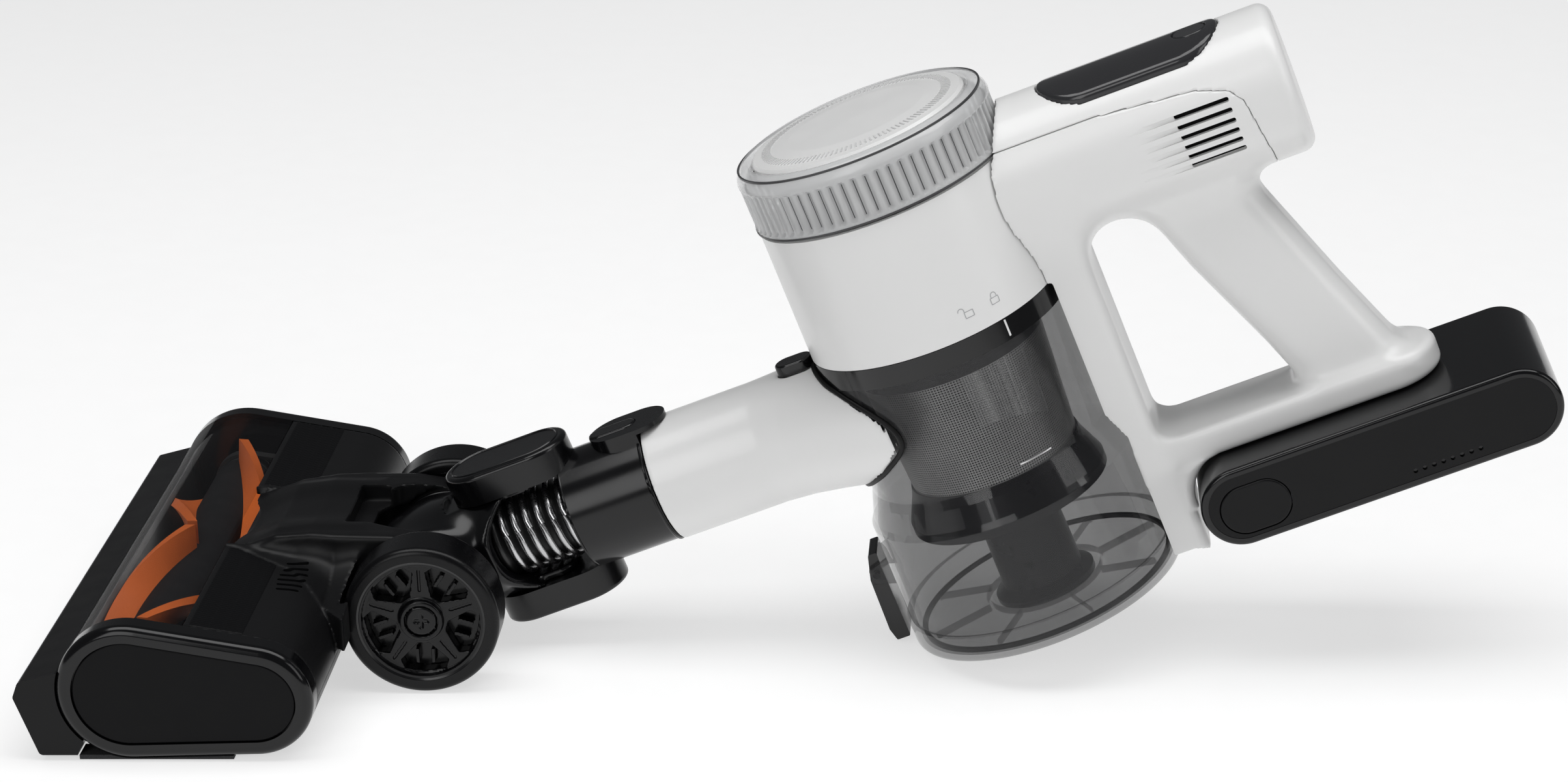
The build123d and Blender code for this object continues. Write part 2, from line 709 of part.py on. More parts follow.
CUP_HOLLOW = turned(
    (0, CUP_BOTTOM), (CUP_BASE_R - CUP_WALL, CUP_BOTTOM), (CUP_BASE_R - CUP_WALL - 0.6, LEDGE_V - 1),
    (CUP_WAIST_R - CUP_WALL, WAIST_V), (CUP_R - CUP_WALL, CUP_TOP), (0, CUP_TOP),
)
FRONT_U = AXIS_U - CUP_BASE_R  # front of the cup's base
REAR_U = AXIS_U + CUP_BASE_R
with BuildPart() as dust_cup:
    add(cup_envelope)
    add(across_hinge(
        KNUCKLE_R + 0.3, 5.1, (REAR_U - 1.5, 20), (HINGE[0] + KNUCKLE_R, 14),
        (HINGE[0] + KNUCKLE_R, HINGE[1] - KNUCKLE_R), (HINGE[0] - 0.4, HINGE[1] - KNUCKLE_R),
        (LID_R + AXIS_U + 0.5, HINGE[1] + 0.4),
        (LID_R + AXIS_U + 0.5, CUP_BOTTOM + 0.3), (REAR_U - 1.5, CUP_BOTTOM),
    ))
    add(across_hinge(
        9.4, 12.0, (FRONT_U + 2, 42), (LATCH_PIN[0] - 2.4, 39), (LATCH_PIN[0] - 2.4, 33), (FRONT_U + 2, 30),
    ))
    add(CUP_HOLLOW, mode=Mode.SUBTRACT)
    with BuildSketch(across(-80, NECK_V - 2)):
        Ellipse(24, 19)
    extrude(amount=60, mode=Mode.SUBTRACT)
    add(pin_hole(HINGE, 1.3 + SNUG), mode=Mode.SUBTRACT)
    add(pin_hole(LATCH_PIN, 1.3 + SNUG), mode=Mode.SUBTRACT)
save("dust_cup", dust_cup.part)

with BuildPart() as bin_pins:
    with BuildSketch(side()):
        with Locations(HINGE):
            Circle(1.3)
    extrude(amount=5.1, both=True)
    with BuildSketch(side()):
        with Locations(LATCH_PIN):
            Circle(1.3)
    extrude(amount=12, both=True)
save("bin_pins", bin_pins.part)

save("cup_ring", turned((50, CUP_TOP), (CYCLONE_R, CUP_TOP), (CYCLONE_R, RING_TOP), (50, RING_TOP)))
save("bin_seal", turned((46.6, 129), (49.6, 129), (49.6, RING_TOP), (46.6, RING_TOP)))

with BuildPart() as cup_lid:
    with BuildSketch(side(0, AXIS_U)):
        with BuildLine():
            Polyline(
                (0, 0), (LID_R, 0), (LID_R, 12), (CUP_BASE_R - 1.6, 12), (CUP_BASE_R - 1.6, 2.6), (0, 2.6),
                close=True,
            )
        make_face()
    revolve(axis=CYCLONE_AXIS)
    fillet(edges().group_by(Axis(TOOL.origin, TOOL.z_dir))[0], LID_ROUND)
    with BuildSketch(level(2.5, AXIS_U)):
        with PolarLocations(39, 8, start_angle=22):
            Rectangle(28, 1.6)
    extrude(amount=3.5)
    add(turned((25, 2.5), (26.6, 2.5), (26.6, 6), (25, 6)))
    with BuildSketch(side()):
        with Locations(HINGE):
            Circle(KNUCKLE_R)
        with BuildLine():
            Polyline(
                (LID_R - 2, 9), (LID_R - 2, 0.9), (HINGE[0], HINGE[1] - KNUCKLE_R),
                (HINGE[0] + 1, HINGE[1] + 2), close=True,
            )
        make_face()
    extrude(amount=KNUCKLE_R, both=True)
    add(pin_hole(HINGE, 1.3 + RUN), mode=Mode.SUBTRACT)
save("cup_lid", cup_lid.part)

save("lid_seal", turned((54.0, 2.7), (56.3, 2.7), (56.3, 13.8), (54.8, 13.8)))

with BuildPart() as lid_latch:
    with BuildSketch(side()):
        with BuildLine():
            Polyline(
                (-60.6, 45), (-64.5, 45), (-67.6, 34), (-68.4, 10), (-67, 4.4), (-61, 4.4), (-61, 38),
                close=True,
            )
        make_face()
        fillet(vertices(), 0.8)
    extrude(amount=9, both=True)
    add(pin_hole(LATCH_PIN, 1.3 + RUN), mode=Mode.SUBTRACT)
save("lid_latch", lid_latch.part)

# ---------------------------------------------------------------- cyclone inside the bin
save("mesh_screen", turned((39.0, 116), (39.6, 116), (36.4, 66), (35.8, 66)))

with BuildPart() as shroud_frame:
    with BuildSketch(level(62, AXIS_U)):
        with PolarLocations(36, 3):
            Rectangle(12, 22)
    extrude(amount=61)
    add(turned((31, 63), (35, 63), (35.7, 66), (38.9, 116), (39, 122), (33, 122)), mode=Mode.INTERSECT)
    add(turned((34, 135.2), (46, 135.2), (46, 131), (40.6, 119), (40.2, 116.1), (36, 116.1), (34, 126)))
    add(turned(
        (16.9, 66), (37.4, 66), (38.5, 62), (43.4, 51), (43.4, 47), (41.6, 47), (41.6, 50), (36, 60),
        (16.9, 62),
    ))
save("shroud_frame", shroud_frame.part)

save("inner_tube", turned((14.8, 61.9), (14.8, 5), (22, 3.4), (22, 6), (17.6, 9), (16.8, 61.9)))

# ---------------------------------------------------------------- cyclone body and filter
BODY_FLOOR = RING_TOP + GAP
with BuildPart() as cyclone_body:
    add(turned(
        (34, BODY_FLOOR), (CYCLONE_R, BODY_FLOOR), (CYCLONE_TOP_R, CYCLONE_TOP), (51.2, CYCLONE_TOP),
        (51.2, BODY_FLOOR + WALL), (34, BODY_FLOOR + WALL),
    ))
    with BuildSketch(across(20, BARREL_V - 8)):
        Circle(20)
    extrude(amount=60, mode=Mode.SUBTRACT)
save("cyclone_body", cyclone_body.part)

save("filter_ring", turned(
    (51.4, CYCLONE_TOP + GAP), (CAP_R, CYCLONE_TOP + GAP), (CAP_R, 212), (53.6, 216), (50.5, 219.6),
    (46.4, 220.8), (46.4, 217), (50.2, 214), (51.4, 210),
))
save("filter_disc", turned(
    (0, 219.4), (41, 218.6), (41, 213), (DISC_R, 213), (DISC_R, 220.2), (45, 221.4), (30, 222.6), (0, 223),
))

PLEATS = 40
with BuildPart() as filter_element:
    with BuildSketch(level(150, AXIS_U)):
        with BuildLine():
            ring = []
            for i in range(2 * PLEATS):
                radius = 42 if i % 2 else 29
                angle = radians(180 * i / PLEATS)
                ring.append((radius * cos(angle), radius * sin(angle)))
            Polyline(*ring, close=True)
        make_face()
        Circle(25, mode=Mode.SUBTRACT)
    extrude(amount=62.8)
save("filter_element", filter_element.part)

# ---------------------------------------------------------------- motor housing with handle
with BuildPart() as barrel_outer:
    with BuildSketch(across(BARREL_FRONT, BARREL_V)):
        Circle(BARREL_R)
    extrude(amount=BARREL_REAR - BARREL_FRONT)
    fillet(edges().sort_by(Axis(TOOL.origin, TOOL.x_dir))[-1], 6)

with BuildPart() as barrel_hollow:
    with BuildSketch(across(BARREL_FRONT - 5, BARREL_V)):
        Circle(BARREL_R - WALL)
    extrude(amount=BARREL_REAR - BARREL_FRONT + 5 - WALL)

with BuildPart() as cover_region:
    with BuildSketch(side()):
        with BuildLine():
            Polyline((20, COVER_V), (COVER_U, COVER_V), (COVER_U, 143.5), (220, 143.5), (220, 240))
            Polyline((220, 240), (20, 240), (20, COVER_V))
        make_face()
        fillet(vertices().sort_by_distance((COVER_U, COVER_V))[0], COVER_ROUND)
    extrude(amount=60, both=True)


def handle_bar(inset):
    """Grip between the barrel and the foot, leaning back; inset makes the smaller inner bar."""
    with BuildPart() as bar:
        with BuildSketch(side()):
            with BuildLine():
                Polyline((94, 152), (106.9, 115.8), (123.7, 76.8), (135.5, 46), (180, 46))
                Polyline((180, 46), (162.4, 89.3), (139, 152), (94, 152))
            make_face()
            if inset:
                offset(amount=-inset)
        extrude(amount=HANDLE_HALF - inset, both=True)
        fillet(edges().filter_by(GeomType.LINE).group_by(Axis.Y)[0], 11 - inset)
        fillet(edges().filter_by(GeomType.LINE).group_by(Axis.Y)[-1], 11 - inset)
    return bar.part


BIN_CLEARANCE = turned(
    (0, -20), (CUP_BASE_R + 2.2, -20), (CUP_BASE_R + 2.2, 61), (CUP_R + 2.4, 74), (CUP_R + 2.4, BODY_FLOOR),
    (CYCLONE_R + 0.1, BODY_FLOOR), (CYCLONE_R + 0.1, CYCLONE_TOP), (CAP_R + 0.6, CYCLONE_TOP),
    (CAP_R + 0.6, 240), (0, 240),
)
with BuildPart() as hinge_pocket:
    add(turned((0, -20), (67.2, -20), (67.2, 22), (0, 22)))
    with BuildSketch(level(-30)):
        with Locations((66, 0)):
            Rectangle(30, 2 * POST_HALF - 5)
    extrude(amount=80, mode=Mode.INTERSECT)
    with BuildSketch(side()):
        with Locations((HINGE[0] - 4.2, HINGE[1] - 5)):
            Rectangle(15.6, 12)
    extrude(amount=POST_HALF + 1, both=True)

with BuildPart() as post:
    with BuildSketch(level(-2)):
        with Locations(((POST_REAR + 30) / 2, 0)):
            Rectangle(POST_REAR - 30, 2 * POST_HALF)
    extrude(amount=165)
    with BuildSketch(side()):
        with BuildLine():
            Polyline((60, -2), (73.5, -2), (73.5, 38), (POST_REAR, 60), (60, 60), close=True)
        make_face()
    extrude(amount=POST_HALF, both=True)
    fillet(edges().filter_by(Axis(TOOL.origin, TOOL.z_dir)).sort_by(Axis(TOOL.origin, TOOL.x_dir))[-2:], 5)

with BuildPart() as foot:
    add(stadium(level(0), 40, FOOT_REAR, FOOT_HALF, FOOT_BOTTOM, FOOT_TOP))
    fillet(faces().sort_by(Axis(TOOL.origin, TOOL.z_dir))[-1].edges(), 3.5)

SIDE_VENTS = [163 + 4.34 * row for row in range(6)]
HOUSING_SCREWS = [(64.5, 30), (64.5, 100), (126, 140)]
with BuildPart() as housing:
    add(barrel_outer.part)
    add(post.part)
    add(foot.part)
    add(handle_bar(0))
    add(barrel_hollow.part, mode=Mode.SUBTRACT)
    add(handle_bar(WALL + 0.6), mode=Mode.SUBTRACT)
    add(stadium(
        level(0), 78, FOOT_REAR - WALL, FOOT_HALF - WALL, FOOT_BOTTOM + WALL, FOOT_TOP - 2,
    ), mode=Mode.SUBTRACT)
    add(BIN_CLEARANCE, mode=Mode.SUBTRACT)
    add(hinge_pocket.part, mode=Mode.SUBTRACT)
    add(cover_region.part, mode=Mode.SUBTRACT)
    with BuildSketch(side()):
        for height in SIDE_VENTS:
            with Locations((134.5, height)):
                SlotOverall(23, 1.5)
    extrude(amount=60, both=True, mode=Mode.SUBTRACT)
    for place in HOUSING_SCREWS:
        add(pin_hole(place, 1.5 + SNUG), mode=Mode.SUBTRACT)

for label, sign in (("near", 1), ("far", -1)):
    with BuildPart() as half:
        add(housing.part)
        with BuildSketch(side()):
            Rectangle(900, 900)
        extrude(amount=-sign * 60, mode=Mode.SUBTRACT)
    save(f"housing_{label}", half.part.solids().sort_by(SortBy.VOLUME)[-1])

with BuildPart() as housing_screws:
    with BuildSketch(side(-8)):
        with Locations(*HOUSING_SCREWS):
            Circle(1.5)
    extrude(amount=-20)
save("housing_screws", housing_screws.part)

with BuildPart() as top_cover:
    add(barrel_outer.part)
    add(barrel_hollow.part, mode=Mode.SUBTRACT)
    add(BIN_CLEARANCE, mode=Mode.SUBTRACT)
    add(cover_region.part, mode=Mode.INTERSECT)
    add(stadium(
        level(0), PANEL_FRONT - 0.1, PANEL_REAR + 0.1, PANEL_HALF + 0.1, 196, 220,
    ), mode=Mode.SUBTRACT)
save("top_cover", top_cover.part)

BUTTON_U = 139.0
with BuildPart() as control_panel:
    add(stadium(level(0), PANEL_FRONT, PANEL_REAR, PANEL_HALF, 196.1, 220))
    with BuildSketch(across(40, BARREL_V)):
        Circle(BARREL_R - 0.3)
        Circle(BARREL_R - WALL, mode=Mode.SUBTRACT)
    extrude(amount=140, mode=Mode.INTERSECT)
    with BuildSketch(level(190, BUTTON_U)):
        Circle(7 + GAP)
    extrude(amount=30, mode=Mode.SUBTRACT)
save("control_panel", control_panel.part)

with BuildPart() as power_button:
    with BuildSketch(level(205, BUTTON_U)):
        Circle(7)
    extrude(amount=3.6)
    fillet(faces().sort_by(Axis(TOOL.origin, TOOL.z_dir))[-1].edges(), 0.8)
save("power_button", power_button.part)

# ---------------------------------------------------------------- suction motor
with BuildPart() as suction_motor:
    with BuildSketch(across(66, BARREL_V)):
        Circle(24)
    extrude(amount=52)
    fillet(edges(), 2)
    with BuildSketch(across(60, BARREL_V)):
        Circle(2.5 + RUN)
    extrude(amount=70, mode=Mode.SUBTRACT)
save("suction_motor", suction_motor.part)

with BuildPart() as motor_shaft:
    with BuildSketch(across(57.5, BARREL_V)):
        Circle(2.5)
    extrude(amount=64)
save("motor_shaft", motor_shaft.part)

with BuildPart() as impeller:
    with BuildSketch(across(62.5, BARREL_V)):
        Circle(22)
        Circle(2.5 + SNUG, mode=Mode.SUBTRACT)
    extrude(amount=1.6)
    with BuildSketch(across(58, BARREL_V)):
        Circle(6)
        Circle(2.5 + SNUG, mode=Mode.SUBTRACT)
    extrude(amount=5)
    with BuildSketch(across(58.5, BARREL_V)):
        with PolarLocations(13, 9):
            Rectangle(16, 1.2, rotation=28)
    extrude(amount=4.5)
save("impeller", impeller.part)

with BuildPart() as control_board:
    with BuildSketch(across(128, BARREL_V)):
        Rectangle(38, 40)
    extrude(amount=1.6)
    with BuildSketch(across(129.6, BARREL_V)):
        with GridLocations(16, 14, 2, 2):
            Rectangle(9, 8)
    extrude(amount=4)
save("control_board", control_board.part)

# ---------------------------------------------------------------- battery
BATTERY_MID = ((BATTERY_FRONT + BATTERY_REAR) / 2, (BATTERY_BOTTOM + BATTERY_TOP) / 2)
BATTERY_LENGTH = BATTERY_REAR - BATTERY_FRONT
BATTERY_HEIGHT = BATTERY_TOP - BATTERY_BOTTOM
RELEASE = (98.6, 20.5)  # centre of each battery button


def battery_slab(inset, low, high):
    """Round-ended slab across the battery, between two distances from the middle."""
    with BuildPart() as slab:
        with BuildSketch(side(low)):
            with Locations(BATTERY_MID):
                SlotOverall(BATTERY_LENGTH - 2 * inset, BATTERY_HEIGHT - 2 * inset)
        extrude(amount=low - high)
    return slab.part


with BuildPart() as battery_case:
    add(battery_slab(0, -BATTERY_HALF, BATTERY_HALF))
    fillet(faces().filter_by(Axis.Y).edges(), 2)
    add(battery_slab(WALL, WALL + 4 - BATTERY_HALF, BATTERY_HALF - WALL - 4), mode=Mode.SUBTRACT)
    add(battery_slab(3.2, -BATTERY_HALF - 1, 1.4 - BATTERY_HALF), mode=Mode.SUBTRACT)
    add(battery_slab(3.2, BATTERY_HALF - 1.4, BATTERY_HALF + 1), mode=Mode.SUBTRACT)
    with BuildSketch(side()):
        with Locations(RELEASE):
            SlotOverall(30.6, 21.6)
    extrude(amount=50, both=True, mode=Mode.SUBTRACT)
    with BuildSketch(level(BATTERY_TOP - 1)):
        with Locations((110, -8), (110, 0), (110, 8)):
            Rectangle(12.1, 3.1)
    extrude(amount=5, mode=Mode.SUBTRACT)
save("battery_case", battery_case.part)


def battery_panel(low, high):
    """Inset side panel with the release button's opening and a row of gauge holes."""
    with BuildPart() as panel:
        add(battery_slab(3.3, low, high))
        with BuildSketch(side()):
            with Locations(RELEASE):
                SlotOverall(30.6, 21.6)
            for hole in range(8):
                with Locations((164.7 + 4 * hole, 12)):
                    Circle(1.0)
        extrude(amount=50, both=True, mode=Mode.SUBTRACT)
    return panel.part


save("battery_panels", Compound([
    battery_panel(0.2 - BATTERY_HALF, 1.3 - BATTERY_HALF),
    battery_panel(BATTERY_HALF - 1.3, BATTERY_HALF - 0.2),
]))

with BuildPart() as battery_contacts:
    with BuildSketch(level(BATTERY_TOP - 1)):
        with Locations((110, -8), (110, 0), (110, 8)):
            Rectangle(12, 3)
    extrude(amount=1.2)
save("battery_contacts", battery_contacts.part)

with BuildPart() as battery_cells:
    with BuildSketch(side()):
        for cell in range(7):
            with Locations((94 + 19 * cell, BATTERY_MID[1])):
                Circle(9.2)
    extrude(amount=32.5, both=True)
save("battery_cells", battery_cells.part)


def battery_button(sign):
    """Oval release button, slightly dished in the panel."""
    with BuildPart() as button:
        with BuildSketch(side(sign * (BATTERY_HALF - 4))):
            with Locations(RELEASE):
                SlotOverall(30, 21)
        extrude(amount=-sign * 4.2)
        fillet(faces().sort_by(Axis.Y)[-1 if sign > 0 else 0].edges(), 1)
    return button.part


save("battery_button_near", battery_button(-1))
save("battery_button_far", battery_button(1))
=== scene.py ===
"""Looks of the cordless stick vacuum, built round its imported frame.

Shapes are written in millimetres in one of two local frames, the tool's (x along the motor barrel,
z up the cyclone axis) and the floor head's (x to the rear, z up), and placed in metres.
Moulded forms are mixed as signed distances and skinned; turned and swept forms are meshed directly.
"""

import json
import math

import bmesh
import bpy
import numpy as np
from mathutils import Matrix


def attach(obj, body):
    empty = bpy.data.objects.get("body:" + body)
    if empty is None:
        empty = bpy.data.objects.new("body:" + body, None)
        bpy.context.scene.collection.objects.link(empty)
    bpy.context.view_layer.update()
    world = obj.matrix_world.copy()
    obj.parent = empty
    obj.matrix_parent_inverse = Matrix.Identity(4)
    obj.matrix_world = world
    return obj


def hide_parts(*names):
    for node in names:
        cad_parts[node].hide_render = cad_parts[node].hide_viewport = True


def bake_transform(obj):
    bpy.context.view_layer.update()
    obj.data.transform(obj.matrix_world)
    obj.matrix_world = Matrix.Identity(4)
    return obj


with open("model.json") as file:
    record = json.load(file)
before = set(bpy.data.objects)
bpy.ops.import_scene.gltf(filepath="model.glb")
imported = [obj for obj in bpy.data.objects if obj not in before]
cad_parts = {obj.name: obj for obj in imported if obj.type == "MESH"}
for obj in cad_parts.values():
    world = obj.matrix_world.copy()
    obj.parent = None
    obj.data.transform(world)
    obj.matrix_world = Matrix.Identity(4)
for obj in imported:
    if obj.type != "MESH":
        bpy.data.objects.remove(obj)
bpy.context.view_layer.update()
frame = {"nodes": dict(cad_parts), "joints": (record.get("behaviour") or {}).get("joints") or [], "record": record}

import openvdb
from mathutils import Matrix, Vector

JOINTS = {joint["name"]: joint for joint in frame["joints"]}
NODES = frame["nodes"]
MM = 0.001
COARSE = 1.0

# ---------------------------------------------------------------- the two local frames
ALONG = Vector(JOINTS["fan_spin"]["axis"]).normalized()
UP = Vector(JOINTS["bin_twist"]["axis"]).normalized()
FAR = Vector((0, 1, 0))
HINGE_U, HINGE_V = 64.0, 3.2  # the lid hinge in the tool's own frame
TOOL_ORIGIN = Vector(JOINTS["lid_hinge"]["pos_m"]) - (HINGE_U * ALONG + HINGE_V * UP) * MM
TOOL = Matrix.Translation(TOOL_ORIGIN) @ Matrix((ALONG, FAR, UP)).transposed().to_4x4() @ Matrix.Scale(MM, 4)
BRUSH_X, BRUSH_Z = 21.0, 27.5
HEAD_ORIGIN = Vector(JOINTS["brush_spin"]["pos_m"]) - Vector((BRUSH_X, 0, BRUSH_Z)) * MM
HEAD = Matrix.Translation(HEAD_ORIGIN) @ Matrix.Scale(MM, 4)
WHEEL_X, WHEEL_Z = 126.5, 32.0


def on_axle(aside, degrees):
    """A place on the wheels' axle, aside from the middle plane and turned about the head's x."""
    turned = Matrix.Rotation(math.radians(degrees), 4, "X")
    return HEAD @ Matrix.Translation((WHEEL_X, aside, WHEEL_Z)) @ turned


AXIS_U = 0.6  # cyclone axis
CYCLONE = TOOL @ Matrix.Translation((AXIS_U, 0, 0))
NECK_V, YAW_U = 104.7, -190.0  # height of the neck's axis, and the swivel's axis
BARREL_V, BARREL_R, BARREL_END = 177.0, 31.5, 172.5  # motor barrel: axis height, radius, rear end
CUP_TOP, CUP_TOP_R, WAIST_V, WAIST_R = 126.0, 54.0, 72.0, 52.6  # the cup's top edge and its waist
RING_R = 54.4  # black ring over the cup, and the foot of the white band
SHARP = 38.0  # degrees over which an edge stays crisp


# ---------------------------------------------------------------- materials
class Shader:
    """A node material round one Principled shader, with its own small vocabulary."""

    def __init__(self, name, colour, roughness, **sockets):
        self.material = bpy.data.materials.new(name)
        self.material.use_nodes = True
        self.nodes, self.links = self.material.node_tree.nodes, self.material.node_tree.links
        self.shader = self.nodes["Principled BSDF"]
        self.colour, self.roughness = colour, roughness
        self.shader.inputs["Base Color"].default_value = (*colour, 1)
        self.shader.inputs["Roughness"].default_value = roughness
        for socket, value in sockets.items():
            self.shader.inputs[socket.replace("_", " ")].default_value = value
        self.place = self.nodes.new("ShaderNodeTexCoord").outputs["Object"]

    def noise(self, scale, detail=3.0, stretch=None):
        """Noise at a scale in cycles per metre."""
        texture = self.nodes.new("ShaderNodeTexNoise")
        texture.inputs["Scale"].default_value = scale
        texture.inputs["Detail"].default_value = detail
        source = self.place
        if stretch:
            mapping = self.nodes.new("ShaderNodeMapping")
            mapping.inputs["Scale"].default_value = stretch
            self.links.new(source, mapping.inputs["Vector"])
            source = mapping.outputs["Vector"]
        self.links.new(source, texture.inputs["Vector"])
        return texture.outputs["Fac"]

    def spread(self, value, low, high, at=(0.3, 0.7)):
        """Maps a noise value from one span to another."""
        node = self.nodes.new("ShaderNodeMapRange")
        for socket, number in zip(("From Min", "From Max", "To Min", "To Max"), (*at, low, high)):
            node.inputs[socket].default_value = number
        self.links.new(value, node.inputs["Value"])
        return node.outputs["Result"]

    def tint(self, value, other):
        """Mixes the base colour towards another by a value."""
        node = self.nodes.new("ShaderNodeMix")
        node.data_type = "RGBA"
        node.inputs["A"].default_value = (*self.colour, 1)
        node.inputs["B"].default_value = (*other, 1)
        self.links.new(value, node.inputs["Factor"])
        self.links.new(node.outputs["Result"], self.shader.inputs["Base Color"])

    def rough(self, value, amount):
        """Varies the roughness by a value."""
        wide = self.spread(value, max(self.roughness - amount, 0.02), self.roughness + amount)
        self.links.new(wide, self.shader.inputs["Roughness"])

    def bump(self, value, depth):
        """Raises the surface by a value, depth in metres."""
        node = self.nodes.new("ShaderNodeBump")
        node.inputs["Distance"].default_value = depth
        node.inputs["Strength"].default_value = 1.0
        self.links.new(value, node.inputs["Height"])
        self.links.new(node.outputs["Normal"], self.shader.inputs["Normal"])


def shade_of(colour, factor):
    """A lighter or darker shade of a colour."""
    return tuple(min(1.0, c * factor) for c in colour)


def moulded(name, colour, roughness, grain=900.0, depth=0.000006, mottle=0.05, **sockets):
    """Moulded plastic: fine grain, slow drift in tone, and handling marks in its gloss."""
    shader = Shader(name, colour, roughness, **sockets)
    shader.tint(shader.spread(shader.noise(14.0), 0.0, 1.0), shade_of(colour, 1 - mottle))
    shader.rough(shader.noise(60.0, 5.0), 0.1 * roughness + 0.01)
    shader.bump(shader.noise(grain, 2.0), depth)
    return shader.material


def clear(name, colour, alpha, roughness=0.05):
    """Tinted clear plastic: a thin tinted layer with a polished face."""
    shader = Shader(name, colour, roughness, Alpha=alpha, IOR=1.5, Coat_Weight=0.3)
    shader.tint(shader.spread(shader.noise(9.0), 0.0, 1.0), shade_of(colour, 0.85))
    shader.rough(shader.noise(35.0, 4.0), 0.03)
    return shader.material


def metal(name, colour, roughness, brushed=(1, 1, 1)):
    """Bright metal with fine drawn marks."""
    shader = Shader(name, colour, roughness, Metallic=1.0)
    shader.tint(shader.spread(shader.noise(70.0), 0.0, 1.0), shade_of(colour, 0.8))
    shader.rough(shader.noise(500.0, 4.0, brushed), 0.08)
    shader.bump(shader.noise(1500.0, 2.0, brushed), 0.00001)
    return shader.material


WHITE = (0.80, 0.80, 0.795)
BLACK = (0.003, 0.003, 0.0035)
GLOSS_BLACK = (0.004, 0.004, 0.0045)


def moulded_black(name, colour, roughness, shine, **options):
    """Moulded black plastic or rubber with its face's reflection held down."""
    return moulded(name, colour, roughness, Specular_IOR_Level=shine, **options)


MATERIALS = {
    "white_shell": moulded("white_plastic", WHITE, 0.34, depth=0.000003, mottle=0.012, Coat_Weight=0.15),
    "head_shell": moulded_black("head_plastic", (0.006, 0.006, 0.0065), 0.36, 0.18, depth=0.00001),
    "head_gloss": moulded_black("head_gloss_plastic", BLACK, 0.14, 0.35, depth=0.000002),
    "head_matt": moulded_black("head_matt_plastic", BLACK, 0.42, 0.12, grain=1500, depth=0.00001),
    "window": clear("window_plastic", (0.02, 0.02, 0.022), 0.13),
    "neck_black": moulded_black("neck_plastic", BLACK, 0.18, 0.4, depth=0.000002),
    "key_black": moulded("key_plastic", GLOSS_BLACK, 0.17, depth=0.000002),
    "ring_black": moulded("ring_plastic", GLOSS_BLACK, 0.1, depth=0.000002),
    "cup_smoke": clear("smoked_plastic", (0.025, 0.025, 0.027), 0.38),
    "ring_clear": clear("clear_plastic", (0.88, 0.885, 0.89), 0.50, 0.06),
    "shroud_dark": moulded_black("shroud_plastic", (0.011, 0.011, 0.012), 0.3, 0.35, depth=0.000003),
    "mesh_steel": metal("mesh_metal", (0.88, 0.88, 0.87), 0.42),
    "seal_rubber": moulded_black("seal_rubber_black", (0.006, 0.006, 0.006), 0.45, 0.2, depth=0.000005),
    "hose_black": moulded("hose_rubber", (0.009, 0.009, 0.0095), 0.32),
    "pin_steel": metal("pin_metal", (0.62, 0.62, 0.63), 0.25, (1, 8, 1)),
    "brush_core": moulded_black("brush_pile", (0.010, 0.010, 0.011), 0.85, 0.2, grain=1200, depth=0.00006),
    "bristle_orange": moulded(
        "bristle_fibre", (0.86, 0.17, 0.02), 0.65, grain=1500, depth=0.0001, mottle=0.25,
    ),
    "pulley_dark": moulded("pulley_plastic", (0.04, 0.04, 0.04), 0.45),
    "belt_rubber": moulded("belt_rubber_black", (0.015, 0.015, 0.015), 0.6),
    "bearing_steel": metal("bearing_metal", (0.55, 0.55, 0.56), 0.3, (8, 1, 8)),
    "motor_can": metal("can_metal", (0.5, 0.5, 0.5), 0.35, (1, 10, 1)),
    "fan_motor": metal("cast_metal", (0.55, 0.55, 0.57), 0.45),
    "wheel_hub": moulded_black("hub_plastic", BLACK, 0.2, 0.3),
    "wheel_tyre": moulded_black("tyre_rubber", BLACK, 0.27, 0.22, depth=0.000005),
    "sole_felt": moulded("felt", (0.03, 0.03, 0.032), 0.95, grain=3000, depth=0.0005),
    "panel_grey": moulded("panel_plastic", (0.028, 0.028, 0.030), 0.12, depth=0.000002),
    "board_green": moulded("board_mask", (0.02, 0.12, 0.05), 0.35),
    "filter_white": moulded("filter_paper", (0.72, 0.72, 0.70), 0.9, grain=2500, depth=0.0002),
    "battery_gloss": moulded_black("battery_gloss_plastic", GLOSS_BLACK, 0.13, 0.4, depth=0.000002),
    "battery_matt": moulded_black(
        "battery_matt_plastic", GLOSS_BLACK, 0.33, 0.2, grain=1500, depth=0.00001,
    ),
    "cell_metal": metal("cell_wrap", (0.5, 0.5, 0.52), 0.4),
    "contact_brass": metal("contact_metal", (0.75, 0.55, 0.28), 0.3),
}
PRINT_WHITE = moulded("white_print", (0.75, 0.75, 0.75), 0.5)
PRINT_GREY = moulded("grey_print", (0.42, 0.42, 0.43), 0.5)
PRINT_PALE = moulded("pale_print", (0.66, 0.66, 0.66), 0.5)
# painted shade: dark strips in the flute valleys and dark rings along the clear ring's edges
PAINTED_FLUTE_SHADE = moulded("flute_painted_shade", (0.045, 0.045, 0.047), 0.4)
# painted shade behind the vent slots
PAINTED_SHADE_INSIDE = moulded_black("painted_shade_inside", (0.004, 0.004, 0.004), 0.7, 0.1)

for part in frame["record"]["subparts"]:
    mesh = NODES[part["node"]].data
    mesh.materials.clear()
    mesh.materials.append(MATERIALS[part["material_slot"]])
NODES["bin_pins"].data.materials[0] = MATERIALS["shroud_dark"]


# ---------------------------------------------------------------- making pieces
def built_mesh(name, verts, faces, place):
    """A mesh from local millimetres, put in its place with its faces turned outwards."""
    mesh = bpy.data.meshes.new(name)
    mesh.from_pydata([tuple(v) for v in verts], [], [tuple(f) for f in faces])
    mesh.validate()
    mesh.transform(place)
    work = bmesh.new()
    work.from_mesh(mesh)
    bmesh.ops.recalc_face_normals(work, faces=work.faces)
    work.to_mesh(mesh)
    work.free()
    return mesh


